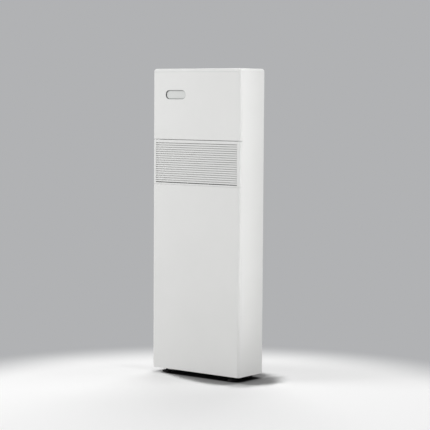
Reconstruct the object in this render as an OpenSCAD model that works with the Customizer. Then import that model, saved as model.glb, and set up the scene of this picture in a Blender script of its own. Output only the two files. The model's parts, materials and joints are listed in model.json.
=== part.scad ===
// Upright monoblock air conditioner: a slim white tower with a louvred intake, a top outlet flap and
// two duct collars at the back. X runs to the right, Y to the back, Z up. The origin is on the floor,
// under the middle of the case, and the front faces -Y. All sizes are millimetres.

/* [Case] */
// Overall width of the case
body_w = 500; // [485:1:560]
// Overall depth of the case
body_d = 185; // [182:1:215]
// Height from the floor to the top of the case
unit_h = 1398; // [1390:1:1500]
// Gap between the floor and the bottom edge of the case
foot_gap = 22; // [21:0.5:28]
// Radius of the case's upright corners and top edges
edge_r = 12; // [9:0.5:14]
// Thickness of the painted covers
cover_t = 2; // [1.6:0.1:2.4]
// Height of the top cap
cap_h = 14; // [12.5:0.5:18]
// Width of the lip that each side cover turns over the back
lip_w = 22; // [20:0.5:26]
// How far the front covers wrap round the sides
wrap_d = 16; // [15:0.5:18]
// Width of the folded flanges behind the covers' upright edges
flange_w = 13; // [11:0.5:16]
// Depth of the folded lips along the covers' level edges
fold_d = 10; // [8:0.5:12]
// Gap between neighbouring covers
seam = 0.5; // [0.3:0.1:0.8]
// Gap between the upper front cover and the grille
grille_seam = 2.2; // [1.5:0.1:3]
// Height of the upper front cover
upper_cover_h = 305.5; // [300:0.5:318]
// Clearance between pieces that seat on each other
clear = 0.3; // [0.2:0.05:0.4]

/* [Intake grille] */
// Number of air slots
slot_count = 19; // [17:1:20]
// Height of one air slot
slot_h = 3.6; // [3:0.1:4.2]
// Height of one slat's front face
slat_h = 6.35; // [6:0.05:7]
// Depth of one slat
slat_d = 15.5; // [14:0.5:16]
// Thickness of a slat at its back edge
slat_back_t = 2; // [1.5:0.1:3]
// How far a slat's underside climbs from front to back
slat_rise = 12; // [11:0.1:12.6]
// Depth of the level land on top of a slat
slat_land = 5; // [3:0.1:5.5]
// Depth of a slat's knee, behind the land
slat_knee = 7.5; // [7:0.1:8.5]
// How far a slat climbs to its knee
slat_climb = 3.9; // [3.7:0.1:4.2]
// How far the slats stand behind the front face
slat_recess = 0.5; // [0.3:0.1:1.5]
// Height of the frame above the slots
rail_top_h = 13.4; // [11:0.1:16]
// Height of the frame below the slots
rail_bottom_h = 7.4; // [6:0.1:10]
// Width of the frame beside the slots
stile_w = 17; // [14:0.5:20]
// Thickness of the upright ribs behind the slats
rib_t = 2.4; // [2:0.1:4]
// Depth of the upright ribs behind the slats
rib_d = 6; // [5:0.5:8]
// Distance between the upright ribs
rib_pitch = 118; // [100:1:125]

/* [Air filter] */
// Distance from the case's sides to the filter
filter_side = 30; // [28:1:40]
// Depth of the filter's frame
filter_t = 5; // [4:0.5:6]
// Width of the filter frame's bars
filter_bar = 9; // [7:0.5:12]
// Thickness of the filter's net
net_t = 0.8; // [0.6:0.1:1.2]

/* [Display] */
// Length of the display window
pill_w = 115; // [105:1:125]
// Height of the display window
pill_h = 40; // [36:1:44]
// Distance from the case's left edge to the window
pill_edge = 74; // [66:1:90]
// Distance from the top of the case to the middle of the window
pill_drop = 117.5; // [100:0.5:125]
// How far the window lies behind the front face
pill_recess = 5; // [4:0.5:7]
// Thickness of the window
window_t = 3; // [2:0.5:4]
// Gap round the window
window_gap = 0.6; // [0.4:0.1:1]
// Thickness of the window's carrier
carrier_t = 2.4; // [2:0.1:3]
// Depth of the carrier behind the window
carrier_d = 12; // [10:0.5:16]
// Thickness of the circuit boards
board_t = 1.6; // [1.2:0.1:2]

/* [Top outlet] */
// Distance from the case's sides to the outlet slot
outlet_edge = 45; // [42:1:50]
// Depth of the outlet slot, front to back
outlet_d = 70; // [64:1:74]
// Distance from the case's back to the outlet slot
outlet_back = 50; // [46:1:54]
// Thickness of the flap
flap_t = 3; // [2.5:0.5:4]
// Gap round the flap
flap_gap = 1; // [0.8:0.1:1.5]
// Radius of the flap's hinge barrel
barrel_r = 4; // [3.5:0.1:4.5]
// Radius of the flap's pins and motor shaft
pin_r = 2; // [1.5:0.1:2.4]
// Running clearance of pins and shafts in their bores, on the radius
run_gap = 0.1; // [0.05:0.01:0.1]
// Radius of the flap motor
flap_motor_r = 8; // [7:0.1:8.4]
// Length of the flap motor
flap_motor_l = 16; // [12:1:20]
// How far the flap motor's shaft lies off its middle
flap_motor_off = 6.5; // [5.5:0.1:6.6]
// Number of upright outlet vanes
vane_count = 9; // [7:1:11]
// Thickness of a vane
vane_t = 1.4; // [1.2:0.1:2]
// Height of a vane
vane_h = 26; // [20:1:30]

/* [Indoor fan] */
// Radius of the indoor fan's rotor
rotor_r = 46; // [42:0.5:47]
// Distance from the top of the case to the rotor's axis
rotor_drop = 133; // [126:1:138]
// Distance from the case's back to the rotor's axis
rotor_back = 72.5; // [70:0.5:76]
// Number of rotor blades
rotor_blades = 32; // [28:1:36]
// Depth of the ring that the rotor's blades fill
blade_ring = 12; // [10:0.5:14]
// Thickness of the rotor's blades
blade_t = 1.2; // [1:0.1:1.6]
// Thickness of the rotor's discs
disc_t = 3; // [2.5:0.5:4]
// Number of sections along the rotor
rotor_sections = 4; // [3:1:5]
// Radius of the rotor's shaft
shaft_r = 4; // [3.5:0.1:5]
// Gap between the rotor and the scroll's walls
tip_gap = 4; // [3.5:0.5:5]
// Thickness of the scroll housing's walls
scroll_t = 2; // [1.6:0.1:3]
// Radius of the indoor fan's motor
rotor_motor_r = 38; // [32:1:42]
// Length of the indoor fan's motor
rotor_motor_l = 24; // [20:1:26]

/* [Coils] */
// Thickness of the finned coils
coil_t = 26; // [24:1:28]
// Length of the indoor coil across its slope
evap_len = 230; // [215:1:236]
// Distance from the case's back to the middle of the indoor coil
evap_back = 92; // [90:0.5:93]
// Drop from the rotor's axis to the middle of the indoor coil
evap_drop = 185; // [183:1:188]
// Slope of the indoor coil from upright
evap_tilt = 34; // [32:0.5:36]
// Distance between coil fins
fin_pitch = 6; // [5:0.5:8]
// Thickness of a fin
fin_t = 1.4; // [1.2:0.1:2]
// Depth of the gaps between the fins
fin_gap_d = 6; // [4:0.5:8]
// Radius of the coils' tubes
tube_r = 4; // [3.5:0.1:4.5]
// Distance between a coil's tubes
tube_pitch = 26; // [24:1:30]
// Height of the outdoor coil
cond_h = 248; // [236:1:250]
// Distance from the case's sides to the outdoor coil's shroud
cond_edge = 38; // [35:1:50]
// Distance from the case's back to the outdoor coil
cond_back = 72; // [66:1:80]
// Width of the tray under the indoor coil
drip_d = 50; // [46:1:52]
// Depth of the tray under the indoor coil
drip_h = 26; // [20:1:32]

/* [Ducts and outdoor fan] */
// Radius of the duct collars' bores
duct_r = 81; // [75:0.5:83]
// Height of the lower duct's axis above the floor
duct_low_z = 412; // [405:1:420]
// Distance between the two ducts
duct_pitch = 293; // [288:1:298]
// Thickness of the duct collars
collar_t = 3; // [2.5:0.5:4]
// Length of the duct collars
collar_l = 22; // [15:1:24]
// Width of the collars' flanges
collar_flange = 12; // [8:1:14]
// Width of the outdoor fan's box
plenum_w = 256; // [246:1:264]
// Depth of the outdoor fan's box
plenum_d = 126; // [122:1:130]
// Radius of the outdoor fan's wheel
wheel_r = 95; // [88:1:99]
// Width of the outdoor fan's wheel
wheel_w = 50; // [44:1:52]
// Number of wheel blades
wheel_blades = 7; // [6:1:9]
// Radius of the wheel's inlet
eye_r = 62; // [56:1:66]
// Radius of the outdoor fan's motor
wheel_motor_r = 36; // [30:1:40]
// Length of the outdoor fan's motor
wheel_motor_l = 22; // [18:1:24]
// Width of the outdoor fan's motor bracket
bracket_w = 50; // [44:1:60]

/* [Chassis] */
// Thickness of the chassis sheet
sheet_t = 1.5; // [1.2:0.1:2]
// Height of the base tray's wall
tray_h = 32; // [26:1:40]
// Width of the front uprights
upright_w = 22; // [18:0.5:24]
// Depth of the front uprights
upright_d = 18; // [14:0.5:19]
// Distance from the partition to the grille above it
partition_drop = 14; // [10:1:18]
// Radius of the wall fixing holes
fix_r = 4.5; // [4:0.1:5]
// Distance from the case's side to the wall fixing holes
fix_edge = 31; // [29:0.5:33]
// Distance between the wall fixing holes, up and down
fix_h = 1000; // [950:1:1040]
// Height of the lower wall fixing holes above the floor
fix_z = 300; // [280:1:320]
// Number of screws down each back lip
screw_count = 6; // [5:1:8]
// Radius of a cover screw's head
screw_r = 3.4; // [3:0.1:3.8]

/* [Feet] */
// Distance from the case's sides to the feet
foot_edge = 60; // [55:1:65]
// Distance from the case's front and back to the feet
foot_rim = 34.5; // [31.5:0.5:36.5]
// Radius of a foot's pad
pad_r = 21; // [18:0.5:24]
// Height of a foot's pad
pad_h = 8; // [6:0.5:9]
// Radius of a foot's stud
stud_r = 5; // [4:0.1:6]
// Height of a foot's nuts
nut_h = 6; // [5:0.5:7]
// Length of stud above the base tray
stud_top = 22; // [20:1:30]

/* [Compressor] */
// Radius of the compressor
comp_r = 52; // [46:1:56]
// Height of the compressor
comp_h = 206; // [190:1:212]
// Distance from the case's left edge to the compressor's axis
comp_edge = 110; // [106:1:116]
// Radius of the circle that its mounts stand on
mount_r = 64; // [62:1:68]
// Radius of the rubber mounts
grommet_r = 11; // [9:0.5:12]
// Height of the rubber mounts
grommet_h = 14; // [12:1:18]
// Radius of the suction accumulator
accu_r = 24; // [20:1:26]
// Height of the suction accumulator
accu_h = 150; // [130:1:160]
// Radius of the refrigerant pipes
pipe_r = 5; // [4:0.1:5.5]

/* [Controls and drains] */
// Width of the control box
box_w = 196; // [180:1:204]
// Height of the control box
box_h = 190; // [170:1:200]
// Depth of the control box
box_d = 64; // [56:1:70]
// Distance from the case's right edge to the control box
box_edge = 20; // [16:1:26]
// Height of the control box above the base tray
box_rise = 34; // [30:1:40]
// Radius of the cable gland's bore
gland_r = 5; // [4:0.1:6]
// Radius of the drain spigot
spigot_r = 8; // [7:0.1:9]
// Length of the drain spigot
spigot_l = 14; // [12:0.5:15]

/* [Hidden] */
$fn = 64;

// Outer faces of the case.
half_w = body_w / 2;
front_y = -body_d / 2;
back_y = body_d / 2;
case_z = foot_gap;
cap_z = unit_h - cap_h;
side_top = cap_z - seam;

// Chassis faces inside the covers.
inset = cover_t + clear;
panel_back = back_y - inset;
panel_front = panel_back - sheet_t;
seat_y = panel_front - clear;
panel_x = half_w - edge_r;
tray_z = case_z + inset;
floor_z = tray_z + sheet_t;
tray_top = tray_z + tray_h;
deck_top = side_top - inset;
deck_z = deck_top - sheet_t;
flange_low = tray_top + clear;
flange_high = deck_z - clear;

// Front covers and grille, from the top down.
upper_bottom = side_top - upper_cover_h;
grille_top = upper_bottom - grille_seam;
slot_pitch = slot_h + slat_h;
slots_h = slot_count * slot_pitch - slat_h;
slots_top = grille_top - rail_top_h;
slots_bottom = slots_top - slots_h;
grille_bottom = slots_bottom - rail_bottom_h;
lower_top = grille_bottom - seam;
opening_x = half_w - stile_w;
wrap_back = front_y + wrap_d;
side_front = wrap_back + seam;

// Front uprights stand inside the base tray, behind the side covers' flanges.
upright_x = half_w - inset - sheet_t - clear;
upright_in = upright_x - upright_w;
upright_front = side_front + inset;
upright_back = upright_front + upright_d;

// Slats, their ribs and the filter behind them.
slat_front = front_y + slat_recess;
slat_back = slat_front + slat_d;
sleeve_top = slots_top + slat_h;
filter_w = body_w - 2 * filter_side;
rib_root = 1;
rib_back = slat_back - rib_root + rib_d;
rib_count = floor((filter_w - 2 * filter_bar) / rib_pitch) + 1;
filter_front = rib_back + clear;
filter_back = filter_front + filter_t;
filter_edge = 4;
filter_top = sleeve_top + filter_edge;
filter_bottom = slots_bottom - filter_edge;
clip_w = 14;
clip_t = 3;

// Display: the window and its board lie in a carrier behind the upper front cover.
pill_x = -half_w + pill_edge + pill_w / 2;
pill_z = unit_h - pill_drop;
window_front = front_y + pill_recess;
window_back = window_front + window_t;
window_ledge = 3;
carrier_front = front_y + inset;
carrier_back = window_back + carrier_d;
board_front = window_back + carrier_d - board_t - 2;

// Top outlet: the flap's back edge is its hinge barrel.
throat_x = half_w - outlet_edge;
outlet_rear = back_y - outlet_back;
outlet_front = outlet_rear - outlet_d;
flap_drop = 0.2;
flap_top = unit_h - flap_drop;
hinge_y = outlet_rear - flap_gap - barrel_r;
hinge_z = flap_top - barrel_r;
flap_x = throat_x - flap_gap;
socket_l = 9;
pin_l = socket_l - 1;
flap_motor_z = hinge_z - flap_motor_off;
flap_motor_x = throat_x + cover_t + clear;
vane_top = hinge_z - barrel_r - 2;
vane_bar = 4;
vane_bar_drop = 10;

// Indoor fan and its scroll.
rotor_y = back_y - rotor_back;
rotor_z = unit_h - rotor_drop;
cheek_x = throat_x + 7;
cheek_out = cheek_x + scroll_t;
rotor_x = cheek_x - tip_gap - 3;
bush_r = shaft_r + 6;
bush_l = 12;
rotor_shaft_l = 18;
blade_sweep = 14;
scroll_top = deck_z - clear - 1;
scroll_r = rotor_r + tip_gap;
scroll_start = -70;
scroll_end = 60;
scroll_growth = 13;
scroll_back = seat_y - scroll_t - 2;
tongue_angle = 120;
knee_drop = 110;
cheek_front = front_y + fold_d + clear + seam;

// Indoor coil, which leans to the front.
bend_room = tube_pitch / 2 + tube_r + sheet_t + 1;
evap_y = back_y - evap_back;
evap_z = rotor_z - evap_drop;
evap_x = cheek_x - clear - bend_room;
evap_rows = 2 * floor(evap_len / (2 * tube_pitch));
evap_half_h = evap_len / 2 * cos(evap_tilt) + coil_t / 2 * sin(evap_tilt);
drip_top = evap_z - evap_half_h - 4;
drip_z = drip_top - drip_h;
drip_front = seat_y - drip_d;
drip_t = 2;

// Partition between the indoor and outdoor sections.
partition_z = grille_bottom - partition_drop;
partition_top = partition_z + sheet_t;

// Outdoor coil and its shroud, centred on the lower duct.
shroud_x = half_w - cond_edge;
shroud_t = 2;
shroud_out = shroud_x + shroud_t;
cond_y = back_y - cond_back - coil_t / 2;
cond_front = cond_y - coil_t / 2;
cond_x = shroud_x - clear - bend_room;
cond_rows = 2 * floor(cond_h / (2 * tube_pitch));
shroud_half_h = cond_h / 2 + clear + shroud_t;

// Outdoor fan, centred on the upper duct.
duct_high_z = duct_low_z + duct_pitch;
plenum_x = plenum_w / 2;
plenum_in = plenum_x - shroud_t;
plenum_front = seat_y - plenum_d;
wheel_front = plenum_front + shroud_t + 8;
wheel_back = wheel_front + wheel_w;
wheel_plate = 2;
wheel_eye = eye_r + 3;
hub_r = 13;
motor_gap = 2;
wheel_motor_front = wheel_back + motor_gap;
wheel_motor_back = wheel_motor_front + wheel_motor_l;
bracket_front = wheel_motor_back + clear;
bracket_t = 2;
bracket_foot = 14;
ring_t = 2;
ring_flange = 14;

// Duct collars.
collar_front = back_y - collar_l;
collar_out = duct_r + collar_t;
collar_hole = collar_out + clear;
flange_front = panel_back + clear;

// Compressor, accumulator and valve.
comp_x = -half_w + comp_edge;
comp_y = 4;
comp_z = floor_z + grommet_h;
comp_top = comp_z + comp_h;
comp_plate = 3;
port_l = 8;
accu_x = comp_x + comp_r + accu_r + 9;
accu_z = comp_z + 36;
accu_top = accu_z + accu_h;
elbow_z = comp_z + 17;
elbow_bend = 9;
valve_drop = 60;
valve_r = 11;
valve_l = 70;
valve_y = cond_y;
valve_z = duct_high_z - valve_drop;
valve_top = valve_z + valve_l / 2;
valve_low = valve_z - valve_l / 2;

// Pipe risers run up the left side, between the inner housings and the side cover.
riser_x = -half_w + cover_t + 17;
valve_inset = 42;
valve_x = riser_x + valve_inset;
stub_out = 3;
bend_r = 10;
cross_drop = 20;
pipe_gap = 26;
discharge_y = cond_y - pipe_gap;
suction_y = discharge_y - pipe_gap;
drain_y = seat_y - 14;
drain_z = drip_z + drip_t + pipe_r;
tube_fit = run_gap;

// Controls.
box_x1 = half_w - box_edge;
box_x0 = box_x1 - box_w;
box_z0 = floor_z + box_rise;
box_z1 = box_z0 + box_h;
box_y0 = seat_y - box_d;
box_t = 1.5;
standoff_l = 8;
board_margin = 12;
gland_x = box_x1 - 34;
gland_z = box_z0 + 26;
gland_wall = 3;
gland_flange = 4;
gland_nut_l = 6;

// Drain spigot in the base tray.
spigot_x = 60;
spigot_y = 40;
spigot_wall = 2;
spigot_flange = 5;
spigot_nut_h = 3;
spigot_step = 0.5;

// Wall fixing holes, screws and feet.
fix_x = half_w - fix_edge;
screw_x = half_w - lip_w + 5;
shank_r = 1.6;
shank_l = 8;
screw_depth = cover_t - 0.2;
screw_low = tray_top + 40;
screw_high = deck_z - 40;
nut_r = stud_r + 4;
foot_x = half_w - foot_edge;
foot_y = back_y - foot_rim;

// Evaluates to where tube i of a row of n tubes lies along its coil, from the middle.
function tube_place(i, n) = (i - (n - 1) / 2) * tube_pitch;

// The coils' free tube ends, as [y, z].
evap_low_tube = tube_place(0, evap_rows);
evap_low = [evap_y - evap_low_tube * sin(evap_tilt), evap_z + evap_low_tube * cos(evap_tilt)];
evap_high = [evap_y + evap_low_tube * sin(evap_tilt), evap_z - evap_low_tube * cos(evap_tilt)];
cond_low_z = duct_low_z + tube_place(0, cond_rows);
cond_high_z = duct_low_z - tube_place(0, cond_rows);

// Pipe routes, as corners that the pipes round off.
stub_x = -cheek_out - stub_out;
cond_stub_x = -shroud_out - stub_out;
valve_in = [valve_x, valve_y, valve_top + port_l + clear];
valve_out = [valve_x, valve_y, valve_low - port_l - clear];
discharge_route = [
    [comp_x, comp_y, comp_top + port_l + clear],
    [comp_x, comp_y, comp_top + port_l + cross_drop],
    [comp_x, discharge_y, comp_top + port_l + cross_drop],
    [riser_x, discharge_y, comp_top + port_l + cross_drop],
    [riser_x, discharge_y, valve_in.z + cross_drop],
    [valve_x, discharge_y, valve_in.z + cross_drop],
    [valve_x, valve_y, valve_in.z + cross_drop],
    valve_in
];
suction_z = comp_top + 12;
suction_route = [
    [accu_x, comp_y, accu_top + port_l + clear],
    [accu_x, comp_y, suction_z],
    [accu_x, suction_y, suction_z],
    [riser_x, suction_y, suction_z],
    [riser_x, suction_y, valve_out.z - cross_drop],
    [valve_x, suction_y, valve_out.z - cross_drop],
    [valve_x, valve_y, valve_out.z - cross_drop],
    valve_out
];
liquid_route = [
    [cond_stub_x - clear, cond_y, cond_low_z],
    [riser_x, cond_y, cond_low_z],
    [riser_x, evap_low[0], cond_low_z],
    [riser_x, evap_low[0], evap_low[1]],
    [stub_x - clear, evap_low[0], evap_low[1]]
];
port_left = [valve_x - valve_r - port_l - clear, valve_y, valve_z - 18];
port_right = [valve_x + valve_r + port_l + clear, valve_y, valve_z + 18];
condenser_route = [
    [cond_stub_x - clear, cond_y, cond_high_z],
    [riser_x, cond_y, cond_high_z],
    [riser_x, valve_y, port_left.z],
    port_left
];
evaporator_route = [
    port_right,
    [port_right.x + 14, valve_y, port_right.z],
    [port_right.x + 14, valve_y, partition_z - cross_drop],
    [port_right.x + 14, evap_high[0], partition_z - cross_drop],
    [riser_x, evap_high[0], partition_z - cross_drop],
    [riser_x, evap_high[0], evap_high[1]],
    [stub_x - clear, evap_high[0], evap_high[1]]
];
drain_route = [
    [stub_x - clear, drain_y, drain_z],
    [riser_x, drain_y, drain_z],
    [riser_x, drain_y, floor_z + 6]
];

// shared shapes

module block(x0, x1, y0, y1, z0, z1) {
    translate([x0, y0, z0])
        cube([x1 - x0, y1 - y0, z1 - z0]);
}

module rod_x(y, z, r, x0, x1) {
    translate([x0, y, z])
        rotate([0, 90, 0])
            cylinder(r = r, h = x1 - x0);
}

module rod_y(x, z, r, y0, y1) {
    translate([x, y0, z])
        rotate([-90, 0, 0])
            cylinder(r = r, h = y1 - y0);
}

module rod_z(x, y, r, z0, z1) {
    translate([x, y, z0])
        cylinder(r = r, h = z1 - z0);
}

// Carries an outline drawn as [y, z] along X.
module along_x(x0, x1) {
    translate([x0, 0, 0])
        rotate([90, 0, 90])
            linear_extrude(x1 - x0)
                children();
}

// Carries an outline drawn as [x, z] along Y.
module along_y(y0, y1) {
    translate([0, y1, 0])
        rotate([90, 0, 0])
            linear_extrude(y1 - y0)
                children();
}

// Plan of the case, drawn in by a distance.
module case_plan(inward) {
    r = edge_r - inward;
    square([body_w - 2 * edge_r, body_d - 2 * inward], center = true);
    square([body_w - 2 * inward, body_d - 2 * edge_r], center = true);
    for (sx = [-1, 1], sy = [-1, 1])
        translate([sx * (half_w - edge_r), sy * (back_y - edge_r)])
            circle(r = r);
}

module case_ring() {
    difference() {
        case_plan(0);
        case_plan(cover_t);
    }
}

// Keeps the part of a plan that lies in front of a line across the case.
module in_front_of(y) {
    intersection() {
        children();
        translate([-body_w, y - body_d])
            square([2 * body_w, body_d]);
    }
}

// A folded front cover between two heights: a skin that wraps round both sides, level lips along
// its top and bottom, and upright flanges at the back of its wrap.
module front_shell(z0, z1, flange_z0, flange_z1) {
    translate([0, 0, z0])
        linear_extrude(z1 - z0)
            in_front_of(wrap_back)
                case_ring();
    for (z = [z0, z1 - cover_t])
        translate([0, 0, z])
            linear_extrude(cover_t)
                in_front_of(front_y + fold_d)
                    case_plan(0);
    for (side = [-1, 1])
        translate([side * (half_w - flange_w / 2 - cover_t / 2), wrap_back - cover_t / 2, 0])
            translate([0, 0, (flange_z0 + flange_z1) / 2])
                cube([flange_w - cover_t, cover_t, flange_z1 - flange_z0], center = true);
}

// Routes: points become smooth round bends, and rings of points are carried along them.
function unit(v) = v / norm(v);
function round_corner(a, b, c, r) = [
    for (t = [0 : 0.25 : 1])
        let (p = b + unit(a - b) * r, q = b + unit(c - b) * r)
            (1 - t) * (1 - t) * p + 2 * t * (1 - t) * b + t * t * q
];
function smooth(route, r) = [
    route[0],
    for (i = [1 : len(route) - 2])
        each round_corner(route[i - 1], route[i], route[i + 1], r),
    route[len(route) - 1]
];
function heading(p, i) =
    i == 0 ? unit(p[1] - p[0])
    : i == len(p) - 1 ? unit(p[i] - p[i - 1])
    : unit(unit(p[i + 1] - p[i]) + unit(p[i] - p[i - 1]));
function square_to(n, t) = unit(n - (n * t) * t);
function carried(p, i, n) =
    i == len(p) ? []
    : let (m = square_to(n, heading(p, i))) concat([m], carried(p, i + 1, m));

// A round pipe along a route. The first side vector is any that is not along the route's start.
module pipe(route, r, bend = bend_r, sides = 10) {
    p = smooth(route, bend);
    start = heading(p, 0);
    side = abs(start.y) < 0.5 ? [0, 1, 0] : [1, 0, 0];
    normals = carried(p, 0, square_to(side, start));
    points = [
        for (i = [0 : len(p) - 1], k = [0 : sides - 1])
            let (n = normals[i], b = cross(heading(p, i), n), a = 360 * k / sides)
                p[i] + r * (cos(a) * n + sin(a) * b)
    ];
    walls = [
        for (i = [0 : len(p) - 2], k = [0 : sides - 1])
            let (m = (k + 1) % sides)
                [i * sides + k, (i + 1) * sides + k, (i + 1) * sides + m, i * sides + m]
    ];
    first = [for (k = [0 : sides - 1]) k];
    last = [for (k = [sides - 1 : -1 : 0]) (len(p) - 1) * sides + k];
    polyhedron(points, concat(walls, [first, last]));
}

// casing

module base_tray() {
    color([0.10, 0.10, 0.10])
        difference() {
            translate([0, 0, tray_z])
                linear_extrude(tray_h)
                    case_plan(inset);
            translate([0, 0, floor_z])
                linear_extrude(tray_h)
                    case_plan(inset + sheet_t);
            for (sx = [-1, 1], sy = [-1, 1])
                rod_z(sx * foot_x, sy * foot_y, stud_r + clear, tray_z - 1, floor_z + 1);
            rod_z(spigot_x, spigot_y, spigot_r + clear, tray_z - 1, floor_z + 1);
        }
}

module rear_panel() {
    color([0.86, 0.86, 0.85])
        difference() {
            block(-panel_x, panel_x, panel_front, panel_back, flange_low, flange_high);
            for (z = [duct_low_z, duct_high_z])
                rod_y(0, z, collar_hole, panel_front - 1, panel_back + 1);
            for (sx = [-1, 1], z = [fix_z, fix_z + fix_h])
                rod_y(sx * fix_x, z, fix_r, panel_front - 1, panel_back + 1);
            for (sx = [-1, 1], i = [0 : screw_count - 1])
                rod_y(sx * screw_x, screw_height(i), shank_r + clear, panel_front - 1, panel_back + 1);
            rod_y(gland_x, gland_z, gland_r + gland_wall + clear, panel_front - 1, panel_back + 1);
        }
}

function screw_height(i) = screw_low + i * (screw_high - screw_low) / (screw_count - 1);

// The right-hand side cover; the left one is its mirror image.
module side_cover() {
    color([0.93, 0.93, 0.92])
        difference() {
            union() {
                translate([0, 0, case_z])
                    linear_extrude(side_top - case_z)
                        intersection() {
                            case_ring();
                            union() {
                                translate([half_w - edge_r, side_front])
                                    square([edge_r, body_d]);
                                translate([half_w - lip_w, 0])
                                    square([lip_w, body_d]);
                            }
                        }
                for (z = [case_z, side_top - cover_t])
                    translate([0, 0, z])
                        linear_extrude(cover_t)
                            intersection() {
                                case_plan(0);
                                translate([half_w - fold_d, side_front])
                                    square([fold_d, body_d]);
                            }
                block(half_w - flange_w, half_w - cover_t, side_front, side_front + cover_t,
                    flange_low, flange_high);
            }
            for (i = [0 : screw_count - 1])
                translate([screw_x, back_y + clear, screw_height(i)])
                    rotate([90, 0, 0])
                        cylinder(r1 = screw_r + 2 * clear, r2 = shank_r + clear, h = cover_t + clear);
            for (i = [0 : screw_count - 1])
                rod_y(screw_x, screw_height(i), shank_r + clear, panel_back, back_y);
        }
}

module left_side_cover() {
    mirror([1, 0, 0])
        side_cover();
}

module right_side_cover() {
    side_cover();
}

// A quarter-round corner of the cap, drawn in by a distance.
module cap_corner(inward) {
    r = edge_r - inward;
    rotate_extrude($fn = 32)
        polygon([
            [0, cap_z - inward],
            [r, cap_z - inward],
            for (a = [0 : 11.25 : 90])
                [r * cos(a), unit_h - edge_r + r * sin(a)],
            [0, unit_h - inward]
        ]);
}

module cap_form(inward) {
    hull()
        for (sx = [-1, 1], sy = [-1, 1])
            translate([sx * (half_w - edge_r), sy * (back_y - edge_r), 0])
                cap_corner(inward);
}

module top_cap() {
    wall_x = throat_x + cover_t;
    color([0.93, 0.93, 0.92])
        difference() {
            union() {
                difference() {
                    cap_form(0);
                    cap_form(cover_t);
                }
                block(-wall_x, wall_x, outlet_front - cover_t, outlet_rear + cover_t,
                    deck_top + clear, unit_h - cover_t / 2);
                block(-throat_x - socket_l, -throat_x, hinge_y - barrel_r, outlet_rear + cover_t,
                    hinge_z - barrel_r, unit_h - cover_t / 2);
                for (sx = [-1, 1], sy = [-1, 1])
                    rod_z(sx * (half_w - 28), sy * (back_y - 26), 5, deck_top + clear,
                        unit_h - cover_t / 2);
            }
            block(-throat_x, throat_x, outlet_front, outlet_rear, cap_z - cap_h, unit_h + 1);
            rod_x(hinge_y, hinge_z, pin_r + run_gap, -throat_x - socket_l, -throat_x + 1);
            rod_x(hinge_y, hinge_z, pin_r + 1, throat_x - 1, throat_x + cover_t + 1);
        }
}

module upper_front_cover() {
    color([0.93, 0.93, 0.92])
        difference() {
            front_shell(upper_bottom, side_top, upper_bottom, flange_high);
            along_y(front_y - 1, front_y + cover_t + 1)
                pill_outline(window_gap);
        }
}

module lower_front_cover() {
    color([0.93, 0.93, 0.92])
        front_shell(case_z, lower_top, flange_low, lower_top);
}

// chassis

// The right-hand upright, a folded channel open to the back; the left one is its mirror image.
module upright() {
    color([0.70, 0.71, 0.72])
        difference() {
            block(upright_in, upright_x, upright_front, upright_back, floor_z + clear, flange_high);
            block(upright_in + sheet_t, upright_x - sheet_t, upright_front + sheet_t,
                upright_back + 1, floor_z, deck_z);
        }
}

module left_upright() {
    mirror([1, 0, 0])
        upright();
}

module right_upright() {
    upright();
}

module top_deck() {
    color([0.70, 0.71, 0.72])
        difference() {
            translate([0, 0, deck_z])
                linear_extrude(sheet_t)
                    case_plan(inset);
            block(-throat_x, throat_x, outlet_front, outlet_rear, deck_z - 1, deck_top + 1);
            block(throat_x - 1, flap_motor_x + flap_motor_l + clear, hinge_y - flap_motor_r - clear,
                hinge_y + flap_motor_r + clear, deck_z - 1, deck_top + 1);
        }
}

module partition_plate() {
    notch_x = upright_in - clear;
    color([0.70, 0.71, 0.72])
        difference() {
            translate([0, 0, partition_z])
                linear_extrude(sheet_t)
                    in_front_of(seat_y)
                        case_plan(inset);
            for (side = [-1, 1])
                translate([side * (notch_x + half_w / 2), front_y, partition_z])
                    cube([half_w, 2 * (upright_back + clear - front_y), 4 * sheet_t], center = true);
            rod_z(riser_x, evap_low[0], tube_r + 2, partition_z - 1, partition_top + 1);
            rod_z(riser_x, evap_high[0], tube_r + 2, partition_z - 1, partition_top + 1);
            rod_z(riser_x, drain_y, pipe_r + 2, partition_z - 1, partition_top + 1);
        }
}

// intake grille and filter

// One slat: an upright front face with a level land behind it, a steep climb to the knee, which
// closes the straight view through the slot above, and a gentler climb to the thin back edge.
module slat_profile() {
    polygon([
        [0, 0],
        [slat_knee, slat_climb],
        [slat_d, slat_rise],
        [slat_d, slat_rise + slat_back_t],
        [slat_knee, slat_h + slat_climb],
        [slat_land, slat_h],
        [0, slat_h]
    ]);
}

module intake_grille() {
    sleeve_x = opening_x + cover_t;
    color([0.92, 0.92, 0.91]) {
        difference() {
            union() {
                front_shell(grille_bottom, grille_top, grille_bottom, grille_top);
                block(-sleeve_x, sleeve_x, front_y + cover_t, slat_back,
                    slots_bottom - cover_t, sleeve_top + cover_t);
            }
            block(-opening_x, opening_x, front_y - 1, slat_back + 1, slots_bottom, slots_top);
            block(-opening_x, opening_x, front_y + cover_t, slat_back + 1, slots_bottom, sleeve_top);
        }
        for (i = [0 : slot_count - 2])
            translate([0, slat_front, slots_bottom + slot_h + i * slot_pitch])
                along_x(-opening_x, opening_x)
                    slat_profile();
        for (i = [0 : rib_count - 1])
            translate([(i - (rib_count - 1) / 2) * rib_pitch - rib_t / 2, slat_back - rib_root, 0])
                translate([0, 0, slots_bottom - cover_t])
                    cube([rib_t, rib_d, sleeve_top - slots_bottom + 2 * cover_t]);
        for (side = [-1, 1], z = [slots_bottom + slots_h / 4, slots_bottom + slots_h * 3 / 4])
            translate([side * (filter_w / 2 + clear + clip_t / 2), 0, z])
                translate([-clip_t / 2, slat_back - cover_t, -clip_w / 2])
                    cube([clip_t, filter_back + cover_t - slat_back, clip_w]);
    }
}

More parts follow.
